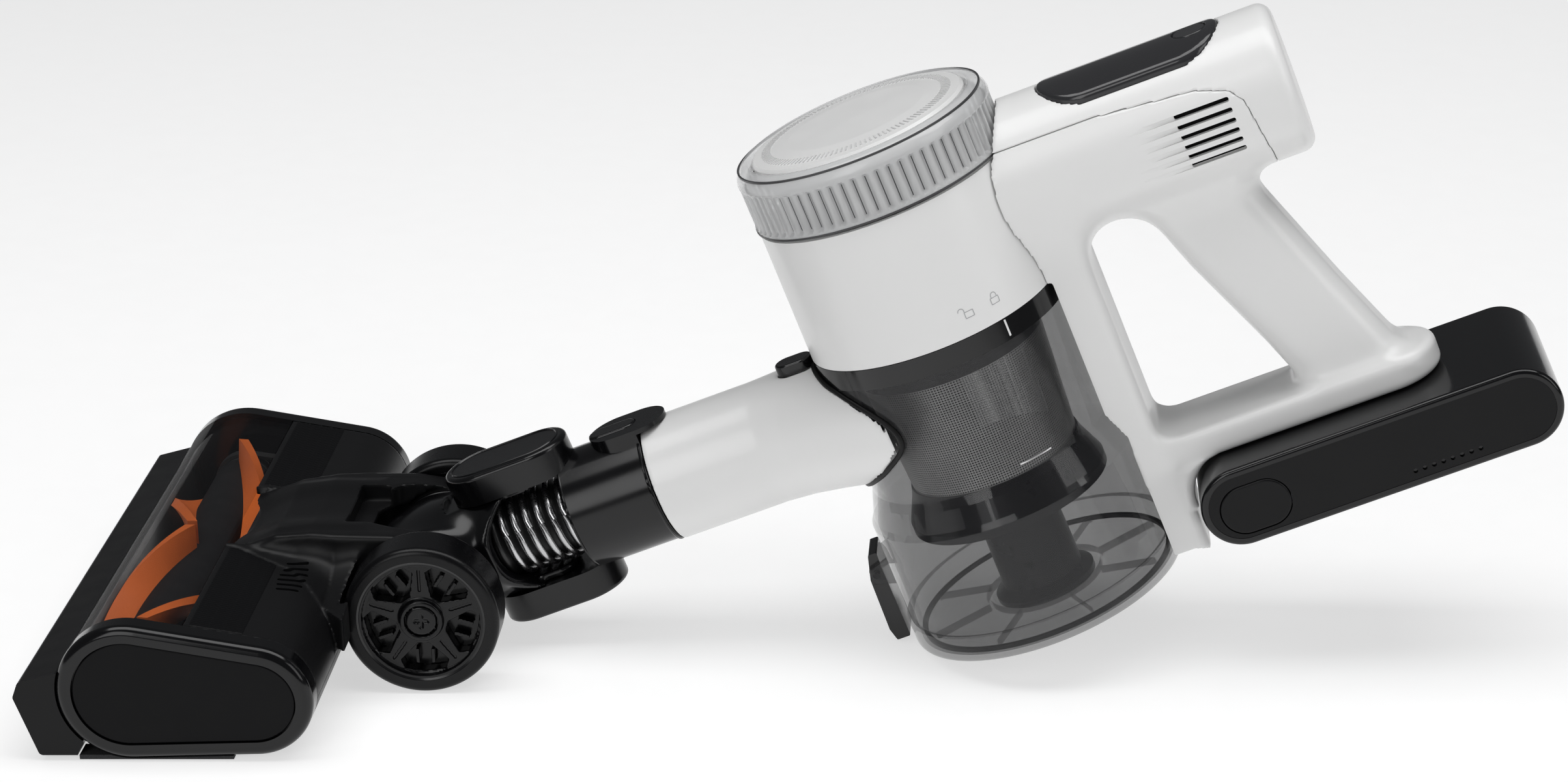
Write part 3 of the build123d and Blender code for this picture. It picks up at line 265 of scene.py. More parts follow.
def piece(name, verts, faces, place, body, slot, nodes=(), material=None, sharp=SHARP):
    """A mesh object from local millimetres, on its body if it has one, in its slot's material, standing for CAD
    nodes.

    Edges that turn by more than sharp degrees stay crisp. A material overrides that of the slot.
    """
    mesh = built_mesh(name, verts, faces, place)
    mesh.shade_smooth()
    mesh.set_sharp_from_angle(angle=math.radians(sharp))
    mesh.materials.append(material or MATERIALS[slot])
    item = bpy.data.objects.new(name, mesh)
    bpy.context.scene.collection.objects.link(item)
    if body:
        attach(item, body)
    if nodes:
        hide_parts(*nodes)
    return item


def prisms(pairs):
    """Closed prisms, each between two outlines with the same number of points."""
    verts, faces = [], []
    for ring_in, ring_out in pairs:
        base, count = len(verts), len(ring_in)
        verts.extend([*ring_in, *ring_out])
        faces.append([base + i for i in range(count)])
        faces.append([base + count + i for i in reversed(range(count))])
        for i in range(count):
            j = (i + 1) % count
            faces.append([base + i, base + count + i, base + count + j, base + j])
    return verts, faces


def joined(*shapes):
    """Several (vertices, faces) shapes as one."""
    verts, faces = [], []
    for more_verts, more_faces in shapes:
        base = len(verts)
        verts.extend(more_verts)
        faces.extend([base + i for i in face] for face in more_faces)
    return verts, faces


def polar(turn):
    """Unit vectors out from the axis and round it at an angle."""
    return Vector((math.cos(turn), math.sin(turn), 0)), Vector((-math.sin(turn), math.cos(turn), 0))


def prisms_round_axis(count, low_ring, high_ring):
    """Evenly spaced prisms about z, each between two rings of (out, aside, height) points."""
    pairs = []
    for k in range(count):
        out, aside = polar(2 * math.pi * k / count)
        pairs.append([
            [out * r + aside * s + Vector((0, 0, h)) for r, s, h in ring] for ring in (low_ring, high_ring)
        ])
    return prisms(pairs)


def rectangle(left, right, low, high):
    """Corners of an upright rectangle."""
    return [(left, low), (right, low), (right, high), (left, high)]


def rounded(points, radius, steps):
    """A closed outline with each corner turned into a short arc."""
    out, count = [], len(points)
    for i, point in enumerate(points):
        here = Vector(point)
        back, ahead = Vector(points[i - 1]) - here, Vector(points[(i + 1) % count]) - here
        reach = min(radius, 0.45 * back.length, 0.45 * ahead.length)
        start, end = here + back.normalized() * reach, here + ahead.normalized() * reach
        for k in range(steps + 1):
            t = k / steps
            out.append(tuple((1 - t) ** 2 * start + 2 * t * (1 - t) * here + t * t * end))
    return out


def lathe(outline, segments=160, ripple=None):
    """Turns a closed (radius, height) outline about z. ripple(turn, r, h) may change a point's radius."""
    verts, faces, count = [], [], len(outline)
    for s in range(segments):
        turn = 2 * math.pi * s / segments
        for r, h in outline:
            radius = ripple(turn, r, h) if ripple else r
            verts.append((radius * math.cos(turn), radius * math.sin(turn), h))
    for s in range(segments):
        a, b = s * count, (s + 1) % segments * count
        for i in range(count):
            j = (i + 1) % count
            faces.append((a + i, b + i, b + j, a + j))
    return verts, faces


def smooth_union(a, b, k):
    """Union of two distances with a fillet about k wide."""
    h = np.clip(0.5 + 0.5 * (b - a) / k, 0, 1)
    return b * (1 - h) + a * h - k * h * (1 - h)


def smooth_cut(a, b, k):
    """Intersection of two distances with a rounded edge about k wide."""
    return -smooth_union(-a, -b, k)


def box_distance(x, y, half_x, half_y, corner):
    """Signed distance to a rectangle with round corners."""
    dx, dy = np.abs(x) - half_x + corner, np.abs(y) - half_y + corner
    outside = np.hypot(np.maximum(dx, 0), np.maximum(dy, 0))
    return outside + np.minimum(np.maximum(dx, dy), 0) - corner


def outline_distance(x, z, points):
    """Signed distance to a closed outline, negative inside."""
    best = np.full(np.broadcast(x, z).shape, 1e6, np.float32)
    inside = np.zeros(best.shape, bool)
    for (ax, az), (bx, bz) in zip(points, points[1:] + points[:1]):
        ex, ez = bx - ax, bz - az
        t = np.clip(((x - ax) * ex + (z - az) * ez) / (ex * ex + ez * ez), 0, 1)
        best = np.minimum(best, np.hypot(x - ax - t * ex, z - az - t * ez))
        if ez:
            crosses = ((az > z) != (bz > z)) & (x < (z - az) * ex / ez + ax)
            inside ^= crosses
    return np.where(inside, -best, best).astype(np.float32)


def thick(flat, w, half, corner):
    """Gives a flat outline's distance a thickness of two halves along w, with round edges."""
    a, b = flat + corner, np.abs(w) - half + corner
    return np.minimum(np.maximum(a, b), 0) + np.hypot(np.maximum(a, 0), np.maximum(b, 0)) - corner


def pair_of_circles(x, z, first, first_r, second, second_r):
    """Signed distance to the hull of two circles."""
    (ax, az), (bx, bz) = first, second
    length = math.hypot(bx - ax, bz - az)
    ux, uz = (bx - ax) / length, (bz - az) / length
    along = (x - ax) * ux + (z - az) * uz
    aside = np.abs(-(x - ax) * uz + (z - az) * ux)
    slope = (first_r - second_r) / length
    level = math.sqrt(1 - slope * slope)
    k = -slope * aside + level * along
    side = level * aside + slope * along - first_r
    side = np.where(k < 0, np.hypot(aside, along) - first_r, side)
    return np.where(k > level * length, np.hypot(aside, along - length) - second_r, side)


class Space:
    """A block of sample points in local millimetres on which distances are mixed."""

    def __init__(self, low, high, step):
        self.step = step * COARSE
        self.low = np.array(low, np.float32)
        axes = [np.arange(a, b + self.step, self.step, dtype=np.float32) for a, b in zip(low, high)]
        self.x, self.y, self.z = np.meshgrid(*axes, indexing="ij", sparse=True)
        self.shape = tuple(len(a) for a in axes)

    def skin(self, distance):
        """Vertices and faces of the surface where the distance is zero."""
        reach = 3 * self.step
        full = np.clip(np.broadcast_to(distance, self.shape), -reach, reach).astype(np.float32)
        full = np.ascontiguousarray(full)
        for axis in range(3):  # the block's own faces count as outside, which closes the skin there
            edge = np.moveaxis(full, axis, 0)
            edge[0], edge[-1] = np.maximum(edge[0], 0.4 * self.step), np.maximum(edge[-1], 0.4 * self.step)
        grid = openvdb.FloatGrid(reach)
        grid.copyFromArray(full)
        points, triangles, quads = grid.convertToPolygons(isovalue=0.0, adaptivity=0.0)
        return points * self.step + self.low, [*triangles.tolist(), *quads.tolist()]


# ---------------------------------------------------------------- motor unit's housing and panel
def barrel_distance(x, y, z, corner=6.0):
    """Signed distance to the motor barrel, with a rounded rear edge."""
    side, back = np.hypot(y, z - BARREL_V) - BARREL_R + corner, x - BARREL_END + corner
    outside = np.hypot(np.maximum(side, 0), np.maximum(back, 0))
    return np.minimum(np.maximum(side, back), 0) + outside - corner


VENT_HEIGHTS = [163 + 4.34 * row for row in range(6)]
VENT_FRONT, VENT_REAR, GROOVE_FRONT = 123.0, 146.0, 103.0
VENT_IN, VENT_OUT = 25.0, 36.0  # how far aside the vent cutters reach
POST_HALF, POST_CORNER = 22.5, 5.0
SEAM_GAP = 0.02  # from the cover's seam to either side of it
BARREL_WALL, BARREL_BACK = 2.5, 3.0  # wall round the barrel and at its rear
# heights and radii round the cyclone axis that the housing keeps clear for the bin and its band
BIN_ROOM = ([-20, 61, 74, 135.2, 135.3, 193, 193.1, 260], [61.4, 61.4, 56.4, 56.4, 54.5, 54.5, 55.2, 55.2])
PANEL_MIDDLE, PANEL_REACH, PANEL_HALF = 112.0, 39.0, 19.8
BUTTON_U = 139.0


def vent_slots():
    """Slots through both sides of the barrel."""
    pairs = []
    for side in (-1, 1):
        for v in VENT_HEIGHTS:
            slot = rounded(rectangle(VENT_FRONT, VENT_REAR, v - 1.05, v + 1.05), 1.0, 3)
            pairs.append([[(u, side * reach, w) for u, w in slot] for reach in (VENT_IN, VENT_OUT)])
    return prisms(pairs)


def vent_grooves():
    """A groove ahead of each slot that fades out forwards."""
    pairs = []
    for side in (-1, 1):
        for v in VENT_HEIGHTS:
            skin = math.sqrt(BARREL_R**2 - (v - BARREL_V) ** 2)
            rear = VENT_FRONT + 0.6
            groove = [(GROOVE_FRONT, v - 0.95), (rear, v - 1.1), (rear, v + 1.1), (GROOVE_FRONT, v + 0.95)]
            inner = [(u, side * (skin + 0.25 - (u - GROOVE_FRONT) * 0.07), w) for u, w in groove]
            pairs.append((inner, [(u, side * VENT_OUT, w) for u, w in groove]))
    return prisms(pairs)


def cut(item, verts, faces, place):
    """Takes closed cutters away from a piece and applies the result."""
    cutter = bpy.data.objects.new("cutter", built_mesh("cutter", verts, faces, place))
    bpy.context.scene.collection.objects.link(cutter)
    boolean = item.modifiers.new("cut", "BOOLEAN")
    boolean.operation, boolean.solver, boolean.object = "DIFFERENCE", "EXACT", cutter
    bpy.context.view_layer.update()
    result = bpy.data.meshes.new_from_object(item.evaluated_get(bpy.context.evaluated_depsgraph_get()))
    item.modifiers.clear()
    item.data = result
    bpy.data.objects.remove(cutter)
    result.set_sharp_from_angle(angle=math.radians(SHARP))


def vent_painted_shade():
    """Two dark arcs inside the barrel, behind the vents: painted shade that makes the slots read dark."""
    verts, faces, turns, sweep = [], [], 12, 96
    for start in (-sweep / 2, 180 - sweep / 2):
        base = len(verts)
        for k in range(turns + 1):
            turn = math.radians(start + sweep * k / turns)
            for r, u in rectangle(27.8, 28.6, 98, 166):
                verts.append((u, r * math.cos(turn), BARREL_V + r * math.sin(turn)))
        for k in range(turns):
            a = base + 4 * k
            faces += [(a + i, a + (i + 1) % 4, a + 4 + (i + 1) % 4, a + 4 + i) for i in range(4)]
        faces += [tuple(base + i for i in range(4)), tuple(base + 4 * turns + i for i in (3, 2, 1, 0))]
    piece("vent_painted_shade", verts, faces, TOOL, "motor_unit", "shroud_dark", material=PAINTED_SHADE_INSIDE)


def motor_housing():
    """Barrel, post, handle and foot as one moulding, and the cover over its top and rear."""
    space = Space((34, -34, -4), (194, 34, 214), 0.9)
    x, y, z = space.x, space.y, space.z
    barrel = barrel_distance(x, y, z)
    post_outline = [(40, -2), (73.5, -2), (73.5, 38), (69.5, 56), (69.5, 170), (40, 170)]
    handle_outline = [
        (94, 152), (106.9, 115.8), (123.7, 76.8), (135.5, 46), (180, 46), (162.4, 89.3), (139, 152),
    ]
    post = thick(outline_distance(x, z, post_outline), y, POST_HALF, POST_CORNER)
    handle = thick(outline_distance(x, z, handle_outline), y, 16, 11)
    foot = thick(box_distance(x - 105, y, 85, 21, 20.9), z - 46.05, 6.45, 3.5)
    solid = smooth_union(barrel, post, 16)
    solid = smooth_union(solid, handle, 13)
    solid = smooth_union(solid, foot, 9)
    # the wedge between post and foot that wraps the battery's front end
    nest = np.maximum(box_distance(x - 79, z - 31, 10, 11, 0.5), 18.3 - np.hypot(x - 93, z - 22))
    solid = smooth_union(solid, thick(nest, y, POST_HALF, POST_CORNER), 2)

    from_axis = np.hypot(x - AXIS_U, y)
    solid = np.maximum(solid, np.interp(z, *BIN_ROOM).astype(np.float32) - from_axis)
    latch_room = np.maximum(np.maximum(from_axis - 67.2, z - 22), np.abs(y) - 20)
    solid = np.maximum(solid, -latch_room)
    post_end = HINGE_V + 1.0 - 0.55 * np.clip(x - 67.6, 0, 6)
    solid = np.maximum(solid, post_end - z)
    hollow = np.maximum(np.hypot(y, z - BARREL_V) - (BARREL_R - BARREL_WALL), x - (BARREL_END - BARREL_BACK))
    solid = np.maximum(solid, -hollow)
    seam = [
        (20, 195), (94, 195), (134, 191.7), (147, 187.5), (151.5, 182), (153, 172), (155, 155),
        (155, 130), (200, 130), (200, 240), (20, 240),
    ]
    region = outline_distance(x, z, seam)
    shell = piece(
        "motor_housing", *space.skin(np.maximum(solid, SEAM_GAP - region)), TOOL, "motor_unit", "white_shell",
        ["housing_near", "housing_far"],
    )
    cut(shell, *vent_slots(), TOOL)
    cut(shell, *vent_grooves(), TOOL)
    vent_painted_shade()
    seat_plan = box_distance(x - PANEL_MIDDLE, y, PANEL_REACH + 0.2, PANEL_HALF + 0.2, PANEL_HALF + 0.1)
    seat = np.maximum(seat_plan, 196 - z)
    cover = np.maximum(np.maximum(solid, region + SEAM_GAP), -seat)
    piece("rear_cover", *space.skin(cover), TOOL, "motor_unit", "white_shell", ["top_cover"])


def control_panel():
    """Gloss panel that stands a little proud of the barrel, with a well for its button."""
    space = Space((70, -22, 192), (154, 22, 212), 0.6)
    x, y, z = space.x, space.y, space.z
    plan = box_distance(x - PANEL_MIDDLE, y, PANEL_REACH, PANEL_HALF, PANEL_HALF - 0.1)
    crown = z - (209.0 - 0.0128 * y * y)
    solid = smooth_cut(plan, crown, 2.2)
    well = np.maximum(np.hypot(x - BUTTON_U, y) - 7.3, 207.2 - z)
    solid = np.maximum(np.maximum(solid, -well), 196.3 - z)
    piece("gloss_panel", *space.skin(solid), TOOL, "motor_unit", "panel_grey", ["control_panel"])


motor_housing()
control_panel()


# ---------------------------------------------------------------- filter cap
FLUTES, TICKS = 66, 120
DISC_TOP = 221.4  # height of the white disc where it meets the ring


def filter_cap():
    """Clear ring with fluted sides, with painted shade in its flute valleys and along its two edges, and the white
    disc inside it with its fine ticks.
    """
    outline = [
        (54.2, 194.2), (54.6, 195.0), (54.6, 196.2), (54.4, 197.2), (54.4, 205), (54.4, 212.8),
        (54.6, 213.8), (54.7, 214.8), (54.1, 216.9), (52.4, 219.4), (50.2, 220.9), (48.2, 221.0),
        (47.0, 220.2), (46.6, 218.8), (47.8, 218.2), (49.8, 216.8), (51.2, 214.6), (51.8, 211.8),
        (51.8, 195.0), (52.0, 194.2),
    ]

    def flute(turn, r, h):
        fluted = 197 < h < 213 and r > 53
        return r - (2.0 * (0.5 + 0.5 * math.cos(FLUTES * turn)) if fluted else 0.0)

    ring = lathe(outline, FLUTES * 8, flute)
    piece("fluted_ring", *ring, CYCLONE, "filter_cap", "ring_clear", ["filter_ring"], sharp=50)

    # the dark strips in the flute valleys and the dark rings along the ring's edges are painted shade
    shade = rectangle(51.9, 52.5, -1.0, 1.0)
    shades = prisms_round_axis(FLUTES, *([(r, s, h) for r, s in shade] for h in (197.6, 212.4)))
    piece("flute_root_painted_shade", *shades, CYCLONE, "filter_cap", "ring_clear", material=PAINTED_FLUTE_SHADE)
    for name, r, h in (("ring_edge_painted_shade_top", 52.5, 219.4), ("ring_edge_painted_shade_low", 54.4, 194.8)):
        edge = rectangle(r - 0.45, r + 0.35, h - 0.45, h + 0.35)
        piece(name, *lathe(edge), CYCLONE, "filter_cap", "ring_clear", material=PAINTED_FLUTE_SHADE)

    tick = ((37.2, -0.26), (41.2, -0.32), (41.2, 0.32), (37.2, 0.26))
    crowned = [(r, s, DISC_TOP + 0.08 * (45 - r)) for r, s in tick]
    ticks = prisms_round_axis(TICKS, *([(r, s, h + lift) for r, s, h in crowned] for lift in (-0.3, 0.4)))
    piece("disc_ticks", *ticks, CYCLONE, "filter_unit", "white_shell", material=PRINT_PALE)


filter_cap()


# ---------------------------------------------------------------- nozzle
DUCT_X = [-140, -86, -74, -62, -40, -14, 0]  # stations along the duct
DUCT_HALF = [26.3, 26.3, 28.6, 33.3, 43.2, 51.5, 53]
DUCT_RISE = [26.3, 26.3, 26.6, 27.1, 28.4, 29.3, 29.5]
DUCT_MIDDLE = [NECK_V, NECK_V, 104.4, 103.7, 102.4, 101.7, 101.5]
DUCT_WALL = 2.4
JOINT_FRONT, JOINT_REAR, JOINT_R, JOINT_BORE = -133.0, -86.0, 25.6, 21.0  # round sleeve at the joint
# heights and radii of the cup and the black ring over it
BIN_WALL = (
    [60, 61, WAIST_V, CUP_TOP, CUP_TOP + 0.1, 150], [60.9, 59.4, WAIST_R, CUP_TOP_R, RING_R, RING_R],
)


def nozzle_outer(x, y, z, grow=0.0):
    """Distance to the duct's skin: round at the joint, then wider and squarer into the bin's wall."""
    half = np.interp(x, DUCT_X, DUCT_HALF).astype(np.float32) + grow
    rise = np.interp(x, DUCT_X, DUCT_RISE).astype(np.float32) + grow
    middle = np.interp(x, DUCT_X, DUCT_MIDDLE).astype(np.float32)
    a, b = np.abs(y) / half, (z - middle) / rise
    power = np.where(b > 0, 2.0 + 0.6 * np.clip((x + 84) / 40, 0, 1), 2.0)
    level = (a**power + np.abs(b) ** power) ** (1 / power)
    steep = np.hypot(a / half, b / rise) / np.maximum(np.hypot(a, b), 1e-3)
    return (level - 1) / np.maximum(steep, 0.015)


def nozzle():
    """Wide-mouthed inlet duct of the bin."""
    space = Space((-135, -55, 68), (-8, 55, 136.5), 0.9)
    x, y, z = space.x, space.y, space.z
    outer = nozzle_outer(x, y, z)
    inner = nozzle_outer(x, y, z, -DUCT_WALL)
    from_axis = np.hypot(x - AXIS_U, y)
    wall = np.interp(z, *BIN_WALL).astype(np.float32)
    duct = np.maximum(outer, -inner)
    across = np.hypot(y, z - NECK_V)
    duct = np.maximum(np.maximum(duct, -np.maximum(across - JOINT_BORE, x - JOINT_REAR)), JOINT_FRONT - x)
    sleeve_ends = np.maximum(JOINT_FRONT - x, x - JOINT_REAR)
    sleeve = np.maximum(np.maximum(across - JOINT_R, JOINT_BORE - across), sleeve_ends)
    duct = np.minimum(duct, sleeve)
    body = np.maximum(duct, wall + 1.5 - from_axis)
    well = np.maximum(box_distance(x + 62.5, y, 8.5, 5.8, 5.7), 126 - z)
    body = np.maximum(body, -well)
    piece("nozzle_moulding", *space.skin(body), TOOL, "dust_bin", "white_shell", ["nozzle"])


nozzle()


# ---------------------------------------------------------------- neck
AXLE_U, AXLE_V = (TOOL.inverted() @ (HEAD @ Vector((WHEEL_X, 0, WHEEL_Z)))).xz
NECK_R, HUB_R, HUB_HALF = 25.5, 24.0, 24.6
LUG_IN, LUG_OUT = 18.6, 21.6  # the lower neck's lugs, out from its axis
HOSE_FRONT, HOSE_REAR = -217.0, -171.5
HOSE_R, HOSE_RIDGE, HOSE_WALL, HOSE_PITCH = 15.0, 1.9, 1.6, 5.4
COIL_R, COIL_WIRE, COIL_TURNS, COIL_REACH = 17.0, 1.45, 6, 13.5  # reach: ahead of the swivel
EAR_LINE_OUT, EAR_LINE_R, EAR_LINE_HALF = 34.75, 12.4, 11.5


def lower_neck():
    """Hub on the wheel axle with a tube that opens in two side windows round the hose."""
    space = Space((-262, -28, 68), (-174, 28, 134), 0.8)
    x, y, z = space.x, space.y, space.z
    aside = z - NECK_V
    rim = -208 + 11.5 * np.clip(np.abs(aside) / 20.5, 0, 1.2) ** 2.4
    radius = np.interp(x, [-245, -222, -206], [21.5, 23.6, NECK_R - 0.6]).astype(np.float32)
    radius = radius + 1.5 * np.exp(-(((x - rim + 2.2) / 3.0) ** 2))
    across = np.hypot(y, aside)
    tube = smooth_cut(np.maximum(across - radius, -250 - x), x - rim, 1.6)
    around = np.hypot(x - AXLE_U, z - AXLE_V)
    hub = thick(around - HUB_R, y, HUB_HALF, 5)
    solid = smooth_union(tube, hub, 10)
    solid = np.maximum(solid, np.abs(y) - HUB_HALF - 0.9)
    turning = np.hypot(x - YAW_U, y)
    solid = np.maximum(solid, -np.maximum(turning - 34, LUG_OUT - np.abs(aside)))
    lug_plan = np.minimum(turning - 10, box_distance(x - YAW_U + 10, y, 10.5, 10, 0.1))
    lugs = np.maximum(lug_plan, np.maximum(np.abs(aside) - LUG_OUT, LUG_IN - np.abs(aside)))
    solid = np.minimum(solid, lugs)
    bore = np.maximum(across - LUG_IN, -262 - x)
    solid = np.maximum(solid, -bore)
    piece("lower_neck_moulding", *space.skin(solid), TOOL, "elbow", "neck_black", ["lower_neck"])
    ring = [(22.6, -0.5), (23.4, 0.0), (23.4, 0.9), (22.9, 1.3), (22.0, 1.3), (21.7, 0.9), (21.7, 0.0)]
    for label, side in (("near", -1), ("far", 1)):
        verts, faces = lathe(ring, 96)
        place = on_axle(side * (HUB_HALF - 0.8), 90 * side)
        piece(f"hub_lip_{label}", [(r, s, -h) for r, s, h in verts], faces, place, "elbow", "neck_black")


def swept(points, radius, sides=10, closed_ends=True):
    """Round wire along a list of points."""
    verts, faces, count = [], [], len(points)
    guide = Vector((0.13, 0.31, 0.94))
    for i, point in enumerate(points):
        ahead = (points[min(i + 1, count - 1)] - points[max(i - 1, 0)]).normalized()
        side = ahead.cross(guide).normalized()
        other = ahead.cross(side)
        for k in range(sides):
            turn = 2 * math.pi * k / sides
            verts.append(point + radius * (math.cos(turn) * side + math.sin(turn) * other))
    for i in range(count - 1):
        for k in range(sides):
            j = (k + 1) % sides
            faces.append((i * sides + k, i * sides + j, (i + 1) * sides + j, (i + 1) * sides + k))
    if closed_ends:
        faces.append(tuple(reversed(range(sides))))
        faces.append(tuple((count - 1) * sides + k for k in range(sides)))
    return verts, faces


def neck_hose():
    """Ribbed hose with a bright coil in its furrows."""
    steps = int((HOSE_REAR - HOSE_FRONT) / 0.6)
    outer = []
    for i in range(steps + 1):
        u = HOSE_FRONT + (HOSE_REAR - HOSE_FRONT) * i / steps
        ridge = 0.5 + 0.5 * math.cos(2 * math.pi * (u - YAW_U) / HOSE_PITCH)
        outer.append((HOSE_R + HOSE_RIDGE * ridge**0.7, u))
    outline = outer + [(r - HOSE_WALL, u) for r, u in reversed(outer)]
    turned, faces = lathe(outline, 72)
    verts = [(h, r, s + NECK_V) for r, s, h in turned]
    hose = piece("ribbed_hose", verts, faces, TOOL, None, "hose_black", ["neck_hose"])
    path, steps = [], 40
    for i in range(COIL_TURNS * steps + 1):
        u = YAW_U - COIL_REACH + HOSE_PITCH * i / steps
        turn = 2 * math.pi * i / steps
        path.append(Vector((u, COIL_R * math.cos(turn), NECK_V + COIL_R * math.sin(turn))))
    coil = piece("hose_coil", *swept(path, COIL_WIRE), TOOL, None, "pin_steel")
    for item in (hose, coil):
        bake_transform(item)


def neck_trim():
    """Inlay lines on the two ears, and the lip and seam rings of the socket."""
    for label, side in (("top", 1), ("bottom", -1)):
        line = []
        for k in range(97):
            turn = 2 * math.pi * k / 96
            along = EAR_LINE_R * math.cos(turn) + (EAR_LINE_HALF if math.cos(turn) > 0 else -EAR_LINE_HALF)
            height = NECK_V + side * EAR_LINE_OUT
            line.append(Vector((YAW_U - 1.5 + along, EAR_LINE_R * math.sin(turn), height)))
        piece(f"ear_line_{label}", *swept(line, 0.45, 6, False), TOOL, "upper_neck", "neck_black")
    for u, r in ((-170.6, 25.3), (-134.4, 25.7)):
        turns = np.linspace(0, 2 * math.pi, 97)
        ring = [Vector((u, r * math.cos(t), NECK_V + r * math.sin(t))) for t in turns]
        piece(f"socket_lip_{int(-u)}", *swept(ring, 0.55, 8, False), TOOL, "upper_neck", "neck_black")


lower_neck()
neck_hose()
neck_trim()


# ---------------------------------------------------------------- floor head
BODY_HALF, SPLIT_Z, WINDOW_REAR, ARM_X = 112.0, 22.0, 42.5, 94.0
HEAD_WALL = 2.4
FAIRING_FLAT = 88.0  # the hump's flared sides keep one foot height from here to the rear
GRIP_STEP, GRIP_PITCH = 0.5, 2.3  # point spacing and diamond size of the grip relief
SLIT_X, SLIT_Y, SLIT_STEP, SLIT_HALF = 74.0, -41.0, 4.6, 0.95  # the row of slits beside the hump
WHEEL_MIDDLE = 51.4  # aside, to the wheel face's own zero
SPOKES, SPOKE_TURN = 5, 0.3


def body_distance(x, z):
    """Signed distance to the head's side outline, round at its front and rear."""
    return pair_of_circles(x, z, (21.0, 29.0), 28.5, (70.0, 25.2), 23.5)


def body_top(x):
    """Height of the head's back above the floor at a distance from its front."""
    heights = np.linspace(30, 62, 321)
    return np.array([heights[np.argmin(np.abs(body_distance(np.float64(v), heights)))] for v in x])


def upper_housing():
    """Back of the head with the hump over the neck, its flared sides and the two arms to the wheels."""
    space = Space((41, -113.5, 4), (146, 113.5, 64), 0.9)
    x, y, z = space.x, space.y, space.z
    wide = np.abs(y)
    body = np.maximum(body_distance(x, z), wide - BODY_HALF)
    profile = [
        (44, 40), (45, 50.5), (52, 53.5), (63, 58.2), (78, 60), (112, 59.6), (124, 57.5), (134, 51),
        (141.5, 38), (141, 27), (134, 17), (126.5, 14), (60, 8),
    ]
    half = np.interp(x, [40, 90, 150], [29.5, 36.0, 37.2]).astype(np.float32)
    section = outline_distance(x, z, profile)
    hump = thick(section, wide - half + 20, 20, 2.2)
    columns = x[:, 0, 0]
    fore = body_top(columns).astype(np.float32)[:, None, None]
    fore = np.where(x > FAIRING_FLAT, fore[np.argmin(np.abs(columns - FAIRING_FLAT))], fore)
    reach = np.interp(x, [47, 72, 97, 110], [31, 45, 76, 80]).astype(np.float32)
    share = np.clip((wide - 24) / (reach - 24), 0, 1)
    ridge = np.interp(x, [44, 52, 63, 78, 112], [51, 53.5, 58.2, 60, 59.6]).astype(np.float32)
    height = fore + 0.3 + (ridge - fore) * (1 - share) ** 2.2
    fairing = np.maximum((z - height) * 0.8, np.maximum(wide - reach, x - 98))
    fairing = np.maximum(fairing, 26 - z)
    solid = smooth_union(smooth_union(body, fairing, 3), hump, 5)
    dish = 1.5 * np.exp(-((wide / 17.0) ** 4))
    crest = ridge + 0.6 - dish
    solid = smooth_cut(solid, np.where(wide < 30, z - crest, -9.0) * 0.9, 1.2)
    wheel = np.hypot(x - WHEEL_X, z - WHEEL_Z)
    solid = np.maximum(solid, -np.maximum(wheel - 33.5, np.maximum(37.6 - wide, wide - 62)))
    solid = np.maximum(solid, -(body_distance(x, z) + HEAD_WALL))
    # the room inside the hump, the slot that the neck swings through, and the notch for its ears
    inner = [(52, 20), (52, 47), (70, 54), (86, 55.5), (89, 50), (160, 50), (160, 0), (80, 0)]
    solid = np.maximum(solid, -np.maximum(outline_distance(x, z, inner), wide - 24.9))
    opening = [
        (91, -16), (91, -4), (99, -4), (99, 10), (106, 21), (124, 24.9), (160, 24.9), (160, -24.9),
        (112, -24.9), (104, -21), (99, -16),
    ]
    plan = outline_distance(x, y, rounded(opening, 1.5, 2))
    solid = np.maximum(solid, -np.maximum(plan, 20 - z))
    shelf = np.maximum(box_distance(x - 96.8, y, 6.3, 20.3, 1.0), 52.5 - z)
    solid = np.maximum(solid, -shelf)
    solid = np.maximum(solid, -np.maximum(wheel - 25.2, wide - 25.0))
    # only what lies behind the window and above the parting belongs to this piece
    region = np.maximum(WINDOW_REAR - x, np.minimum(SPLIT_Z - z, ARM_X - x))
    solid = np.maximum(solid, region)
    shell = piece("head_back", *space.skin(solid), HEAD, "floor_head", "head_shell", ["upper_housing"])
    pairs = []
    for row in range(6):
        length, lean = 12 - 1.2 * abs(row - 2.5), math.radians(12)
        slit = rounded(rectangle(-length / 2, length / 2, -SLIT_HALF, SLIT_HALF), 0.9, 3)
        ring = [
            (
                SLIT_X + a * math.cos(lean) - b * math.sin(lean),
                SLIT_Y - SLIT_STEP * row + a * math.sin(lean) + b * math.cos(lean),
            )
            for a, b in slit
        ]
        pairs.append(([(*p, 35) for p in ring], [(*p, 60) for p in ring]))
    cut(shell, *prisms(pairs), HEAD)


def grip_patch(name, y_from, y_to):
    """Fine diamond relief on the head's back, beside the window."""
    columns = np.arange(44.5, 66.01, GRIP_STEP)
    rows = np.arange(y_from, y_to + 0.01, GRIP_STEP)
    heights = body_top(columns)
    verts, faces = [], []
    for y in rows:
        for x, z in zip(columns, heights):
            ends = min(x - columns[0], columns[-1] - x, y - rows[0], rows[-1] - y)
            a, b = (x + y) / GRIP_PITCH % 1.0, (x - y) / GRIP_PITCH % 1.0
            relief = min(a, 1 - a, b, 1 - b)
            verts.append((x, y, z + (0.14 + 0.32 * relief if ends > 0.2 else -0.2)))
    n = len(columns)
    for j in range(len(rows) - 1):
        for i in range(n - 1):
            faces.append((j * n + i, j * n + i + 1, (j + 1) * n + i + 1, (j + 1) * n + i))
    piece(name, verts, faces, HEAD, "floor_head", "head_matt", sharp=60)


upper_housing()
grip_patch("grip_patch_near", -111, -33)
grip_patch("grip_patch_far", 36, 111)


